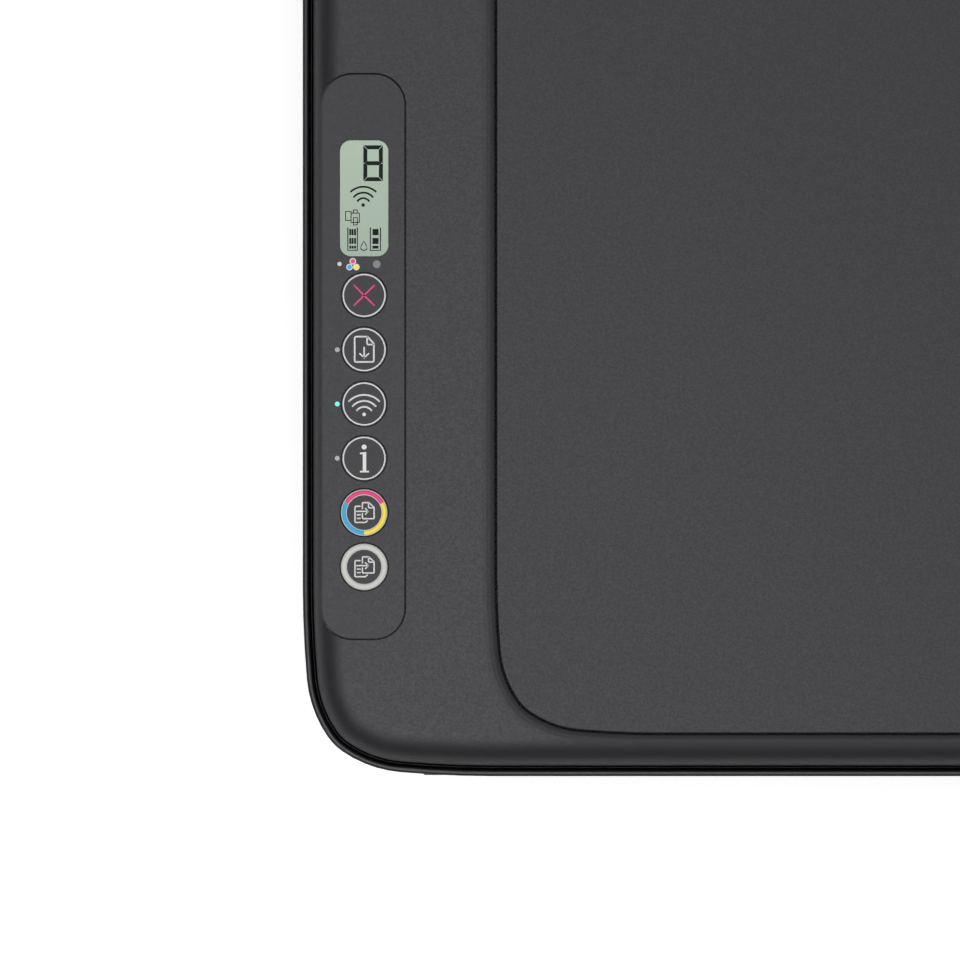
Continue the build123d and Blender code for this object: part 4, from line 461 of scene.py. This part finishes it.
# the end discs are a hair thinner than the bar, so that no two faces lie in one plane
thin = place(line_tree, "ShaderNodeMath", {1: 0.96}, {0: given["Film Thickness"]},
             operation="MULTIPLY").outputs[0]
disc = place(line_tree, "GeometryNodeMeshCylinder", {"Vertices": 20},
             {"Radius": half, "Depth": thin}).outputs["Mesh"]
tips = place(line_tree, "GeometryNodeCurveEndpointSelection").outputs["Selection"]
chosen = place(line_tree, "FunctionNodeBooleanMath", {}, {0: tips, 1: given["Round Ends"]},
               operation="AND").outputs[0]
ends = place(line_tree, "GeometryNodeInstanceOnPoints", {},
             {"Points": level, "Selection": chosen, "Instance": disc}).outputs["Instances"]
joined = place(line_tree, "GeometryNodeJoinGeometry", {}, {"Geometry": swept})
line_tree.links.new(ends, joined.inputs["Geometry"])
real = place(line_tree, "GeometryNodeRealizeInstances", {}, {"Geometry": joined.outputs["Geometry"]})
inked = place(line_tree, "GeometryNodeSetMaterial", {},
              {"Geometry": real.outputs["Geometry"], "Material": given["Ink"]})
place(line_tree, "NodeGroupOutput", {}, {"Geometry": inked.outputs["Geometry"]})
line_input = {item.name: item.identifier for item in sockets.items_tree if item.in_out == "INPUT"}
print("inputs of the printed line", sorted(line_input))

# %% [markdown]
# ## Inks
# Screen-printing ink on plastic is matt and opaque, and its film is never quite even, so a fine noise
# moves its tone by a few percent. The display figures are not ink but switched liquid crystal: a flat,
# cold near-black.

# %% Ink recipes


def screen_ink(name, hex_value, drift_hex):
    """A matt ink, given as the two tones that it wanders between."""
    return moulded_plastic(name, hex_value, drift_hex, 0.6, 0.3, 0.002, 0.6)


white_ink = screen_ink("white_screen_ink", "#D9D9D8", "#CFCFCE")
grey_ink = screen_ink("light_grey_screen_ink", "#C9C9C5", "#C2C2BE")
mid_grey_ink = screen_ink("mid_grey_screen_ink", "#77777A", "#7D7D80")
pink_ink = screen_ink("pink_screen_ink", "#DD4480", "#E24A86")
magenta_ink = screen_ink("magenta_screen_ink", "#E03A78", "#E5407E")
cyan_ink = screen_ink("cyan_screen_ink", "#2BA3D6", "#33AADA")
yellow_ink = screen_ink("yellow_screen_ink", "#F3D935", "#F6DD3C")
crystal = screen_ink("switched_liquid_crystal", "#161F1B", "#1A231F")
# the figures lie under the window, so they have no sheen of their own
crystal.node_tree.nodes["Principled BSDF"].inputs["Specular IOR Level"].default_value = 0.08

# %% Lines of print
# the film is 0.03 mm thick, and its foot is sunk a little, so that no light gets in under it
FILM = 0.03
SINK = 0.005


def arc(centre, radius, start, end, steps=32):
    """Points on an arc, in millimetres and degrees."""
    return [
        (centre[0] + radius * cos(radians(start + (end - start) * i / steps)),
         centre[1] + radius * sin(radians(start + (end - start) * i / steps)))
        for i in range(steps + 1)
    ]


def print_lines(name, body, origin, lines, width, ink, corner=0.0, ends=True, closed=False, lift=0.0):
    """Prints lines, each a list of points in millimetres from origin, on the surface at origin."""
    height = origin.z + (FILM / 2 - SINK + lift) * MM
    points, edges = [], []
    for line in lines:
        first = len(points)
        points += [(origin.x + x * MM, origin.y + y * MM, height) for x, y in line]
        edges += [(first + i, first + i + 1) for i in range(len(line) - 1)]
        if closed:
            edges.append((first + len(line) - 1, first))
    mesh = bpy.data.meshes.new(name)
    mesh.from_pydata(points, edges, [])
    piece = bpy.data.objects.new(name, mesh)
    scene.collection.objects.link(piece)
    modifier = piece.modifiers.new("printed line", "NODES")
    modifier.node_group = line_tree
    modifier[line_input["Line Width"]] = width * MM
    modifier[line_input["Film Thickness"]] = FILM * MM
    modifier[line_input["Corner Radius"]] = corner * MM
    modifier[line_input["Round Ends"]] = ends
    modifier[line_input["Ink"]] = ink
    return settle(piece, body)


# %% Where each key is
KEY_NAMES = ["cancel", "resume", "wireless", "information", "colour_copy", "black_copy"]
key_top = {}
for name in KEY_NAMES:
    low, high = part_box(name + "_button")
    key_top[name] = Vector(((low.x + high.x) / 2, (low.y + high.y) / 2, high.z))
print("first key", [round(v, 4) for v in key_top["cancel"]])

# %% [markdown]
# ## Rings and icons on the keys
# The first four keys carry a thin pale ring near their edge, and each key its icon: a cross, a page
# with an arrow, waves, a letter i, and two pages for copying. The copy keys have a broad ring, one in
# the three ink colours and one in grey. Each is drawn from a few points in millimetres from the middle
# of its key.

# %% Rings
# each ring is given as the radius of its middle line and its width; the last step of the circle is
# closed by print_lines
THIN_RING = (6.05, 0.42)
COLOUR_RING = (5.87, 1.66)
GREY_RING = (5.84, 1.76)
BAND_WIDTH = 1.16


def print_ring(name, ring, ink):
    radius, width = ring
    print_lines(name + "_ring", name + "_key", key_top[name], [arc((0, 0), radius, 0, 354, 60)], width, ink,
                ends=False, closed=True)


for name in KEY_NAMES[:4]:
    print_ring(name, THIN_RING, white_ink)
print_ring("colour_copy", COLOUR_RING, white_ink)
bands = [("magenta", 28, 151, magenta_ink), ("cyan", 151, 270, cyan_ink), ("yellow", 270, 388, yellow_ink)]
for ink_name, start, end, ink in bands:
    print_lines("copy_band_" + ink_name, "colour_copy_key", key_top["colour_copy"],
                [arc((0, 0), COLOUR_RING[0], start, end, 24)], BAND_WIDTH, ink, ends=False,
                lift=0.02)
print_ring("black_copy", GREY_RING, grey_ink)

# %% Cross and page
CROSS = 2.85
PAGE_LINE = 0.5
print_lines("cancel_cross", "cancel_key", key_top["cancel"],
            [[(-CROSS, -CROSS), (CROSS, CROSS)], [(-CROSS, CROSS), (CROSS, -CROSS)]], 0.48, pink_ink)
page = [(1.0, 3.79), (-2.75, 3.79), (-2.75, -3.55), (2.81, -3.55), (2.81, 1.72), (1.0, 3.79)]
fold = [(0.86, 3.70), (0.86, 1.48), (2.72, 1.48)]
arrow = [[(0, 0.59), (0, -2.37)], [(-1.21, -1.18), (0, -2.37), (1.24, -1.18)]]
print_lines("resume_page", "resume_key", key_top["resume"], [page, fold], PAGE_LINE, white_ink,
            corner=0.45)
print_lines("resume_arrow", "resume_key", key_top["resume"], arrow, PAGE_LINE, white_ink)

# %% Waves and the letter i
WAVE_CENTRE = (0, -3.49)
waves = [arc(WAVE_CENTRE, radius, start, 180 - start)
         for radius, start in ((6.13, 44.7), (4.38, 41.1), (2.66, 38.1))]
print_lines("wireless_waves", "wireless_key", key_top["wireless"], waves, 0.53, white_ink)


def print_patches(name, body, origin, outlines, ink, lift=0.0):
    """Prints filled shapes, each outline a list of points in millimetres, anticlockwise."""
    work = bmesh.new()
    for outline in outlines:
        low_z = origin.z - SINK * MM + lift * MM
        foot = [work.verts.new((origin.x + x * MM, origin.y + y * MM, low_z)) for x, y in outline]
        top = [work.verts.new((v.co.x, v.co.y, low_z + FILM * MM)) for v in foot]
        work.faces.new(top)
        work.faces.new(foot[::-1])
        for i in range(len(foot)):
            j = (i + 1) % len(foot)
            work.faces.new((foot[i], foot[j], top[j], top[i]))
    bmesh.ops.recalc_face_normals(work, faces=work.faces)
    mesh = bpy.data.meshes.new(name)
    work.to_mesh(mesh)
    work.free()
    mesh.materials.append(ink)
    piece = bpy.data.objects.new(name, mesh)
    scene.collection.objects.link(piece)
    return settle(piece, body)


def round_dot(centre, radius):
    """The outline of a filled dot."""
    return arc(centre, radius, 0, 348, 29)


print_patches("wireless_dot", "wireless_key", key_top["wireless"], [round_dot((0, -3.02), 0.52)], white_ink)
letter_i = [(-1.21, -4.1), (1.39, -4.1), (1.39, -3.63), (0.6, -3.63), (0.6, 1.83), (-1.21, 1.62),
            (-1.21, 1.2), (-0.4, 1.2), (-0.4, -3.63), (-1.21, -3.63)]
print_patches("information_letter", "information_key", key_top["information"],
              [letter_i, round_dot((0, 3.26), 0.72)], white_ink)

# %% Two pages for copying
COPY_LINE = 0.42
front_page = [(-0.51, 1.18), (-0.51, 2.91), (1.38, 2.91), (2.89, 1.49), (2.89, -1.77), (-0.51, -1.77),
              (-0.51, -0.35)]
front_fold = [(1.28, 2.81), (1.28, 1.38), (2.60, 1.38)]
back_page = [(-1.22, 1.83), (-2.65, 1.83), (-2.65, -2.85), (0.4, -2.85), (0.86, -2.42)]
short_lines = [[(-2.14, 0.37), (1.22, 0.37)], [(0.41, 1.18), (1.22, 0.37), (0.41, -0.45)],
               [(-1.93, -0.65), (-1.18, -0.65)], [(-1.93, -1.67), (-1.18, -1.67)]]
for name in KEY_NAMES[4:]:
    print_lines(name + "_pages", name + "_key", key_top[name], [front_page, front_fold, back_page], COPY_LINE,
                white_ink, corner=0.3)
    print_lines(name + "_arrow", name + "_key", key_top[name], short_lines, COPY_LINE, white_ink)
print("key prints done")

# %% [markdown]
# ## Figures on the display
# A segment display switches fixed areas from clear to dark. They are drawn as flat patches just above
# the screen: a seven-segment digit, the wireless waves, a small picture of a phone beside a printer,
# a drop, and the two ink levels with their bars. The digit's segments are bars with mitred ends that
# meet at a hairline.

# %% Seven segments
low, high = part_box("display")
screen = Vector(((low.x + high.x) / 2, (low.y + high.y) / 2, high.z))


def digit_segments(left, right, bottom, top, thick, gap):
    """The seven outlines of the digit 8: gap is half the space between two segments."""
    middle = (bottom + top) / 2
    h = thick / 2
    across = [(left + gap, top), (left + thick + gap, top - thick), (right - thick - gap, top - thick),
              (right - gap, top)]
    upright = [(left, top - gap), (left, middle + gap), (left + h, middle + gap),
               (left + thick, middle + h + gap), (left + thick, top - thick - gap)]
    bar = [(left + gap + h * 0.6, middle), (left + thick, middle - h), (right - thick, middle - h),
           (right - gap - h * 0.6, middle), (right - thick, middle + h), (left + thick, middle + h)]

    def flip_x(outline):
        return [(left + right - x, y) for x, y in outline][::-1]

    def flip_y(outline):
        return [(x, bottom + top - y) for x, y in outline][::-1]

    return [across, flip_y(across), upright, flip_x(upright), flip_y(upright), flip_x(flip_y(upright)), bar]


digit = digit_segments(-0.24, 5.43, 4.96, 15.37, 1.16, 0.10)
print_patches("display_digit", "scanner", screen, digit, crystal)

# %% Waves, levels and small pictures
THIN_LINE = 0.34
SCREEN_WAVES = (-0.24, -1.96)
waves = [arc(SCREEN_WAVES, radius, start, 180 - start)
         for radius, start in ((5.3, 47.5), (3.6, 41), (2.0, 36))]
print_lines("display_waves", "scanner", screen, waves, 0.54, crystal)
bars = []
for left_edge, right_edge in ((-4.32, -3.76), (-3.65, -3.09), (-2.93, -2.37), (2.42, 4.17)):
    for top_edge, bottom_edge in ((-8.93, -10.70), (-11.52, -13.22), (-13.78, -14.59)):
        bars.append([(left_edge, bottom_edge), (right_edge, bottom_edge), (right_edge, top_edge),
                     (left_edge, top_edge)])
print_patches("display_level_bars", "scanner", screen, [*bars, round_dot((-0.28, -1.96), 0.52)], crystal)
level_outlines = [[(left, -8.5), (left, -15.1), (right, -15.1), (right, -8.5)]
                  for left, right in ((-4.72, -1.98), (1.80, 4.76))]
print_lines("display_level_outlines", "scanner", screen, level_outlines, THIN_LINE, crystal,
            ends=False)
drop = [(-0.09, -12.4), (-0.75, -13.6), (-1.08, -14.3), *arc((-0.09, -14.1), 1.0, 190, 350, 16), (0.9, -14.3),
        (0.57, -13.6)]
print_lines("display_drop", "scanner", screen, [drop], 0.28, crystal, ends=False,
            closed=True)
phone = [(-5.40, -3.85), (-3.80, -3.85), (-3.80, -6.40), (-5.40, -6.40)]
printer = [(-3.80, -4.30), (-1.40, -4.30), (-1.40, -7.00), (-3.80, -7.00)]
paper = [(-3.10, -3.40), (-2.00, -3.40), (-2.00, -4.30), (-3.10, -4.30)]
printed_page = [(-3.10, -5.60), (-2.00, -5.60), (-2.00, -7.70), (-3.10, -7.70)]
print_lines("display_devices", "scanner", screen, [phone, printer, paper, printed_page], THIN_LINE, crystal,
            ends=False, closed=True)

# %% [markdown]
# ## Colour marks under the display
# Small printed dots tell which ink level is which: three overlapping dots for the colour cartridge, a
# grey one for black.

# %% Dots on the panel
EDGE_DOT, INNER_DOT = 0.95, 0.68
low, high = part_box("control_panel")
panel_top = Vector((screen.x, screen.y, high.z))
marks = [("dot_small_grey", (-7.13, -19.04), 0.62, grey_ink),
         ("dot_large_grey", (3.65, -19.11), 1.12, mid_grey_ink)]
trio = [("dot_magenta", (-3.28, -18.26), magenta_ink), ("dot_cyan", (-4.24, -19.96), cyan_ink),
        ("dot_yellow", (-2.28, -19.93), yellow_ink)]
for name, centre, radius, ink in marks:
    print_patches(name, "scanner", panel_top, [round_dot(centre, radius)], ink)
for step, (name, centre, ink) in enumerate(trio):
    height = FILM * step
    print_patches(name + "_edge", "scanner", panel_top, [round_dot(centre, EDGE_DOT)], white_ink,
                  lift=height)
    print_patches(name, "scanner", panel_top, [round_dot(centre, INNER_DOT)], ink,
                  lift=height + FILM / 2)
print("panel marks", len(marks) + len(trio))

# %% [markdown]
# ## Finish
# The box of the printer's parts is printed at the end.

# %% Sizes and the last line
print("cad", [[round(v, 5) for v in corner] for corner in cad_box])
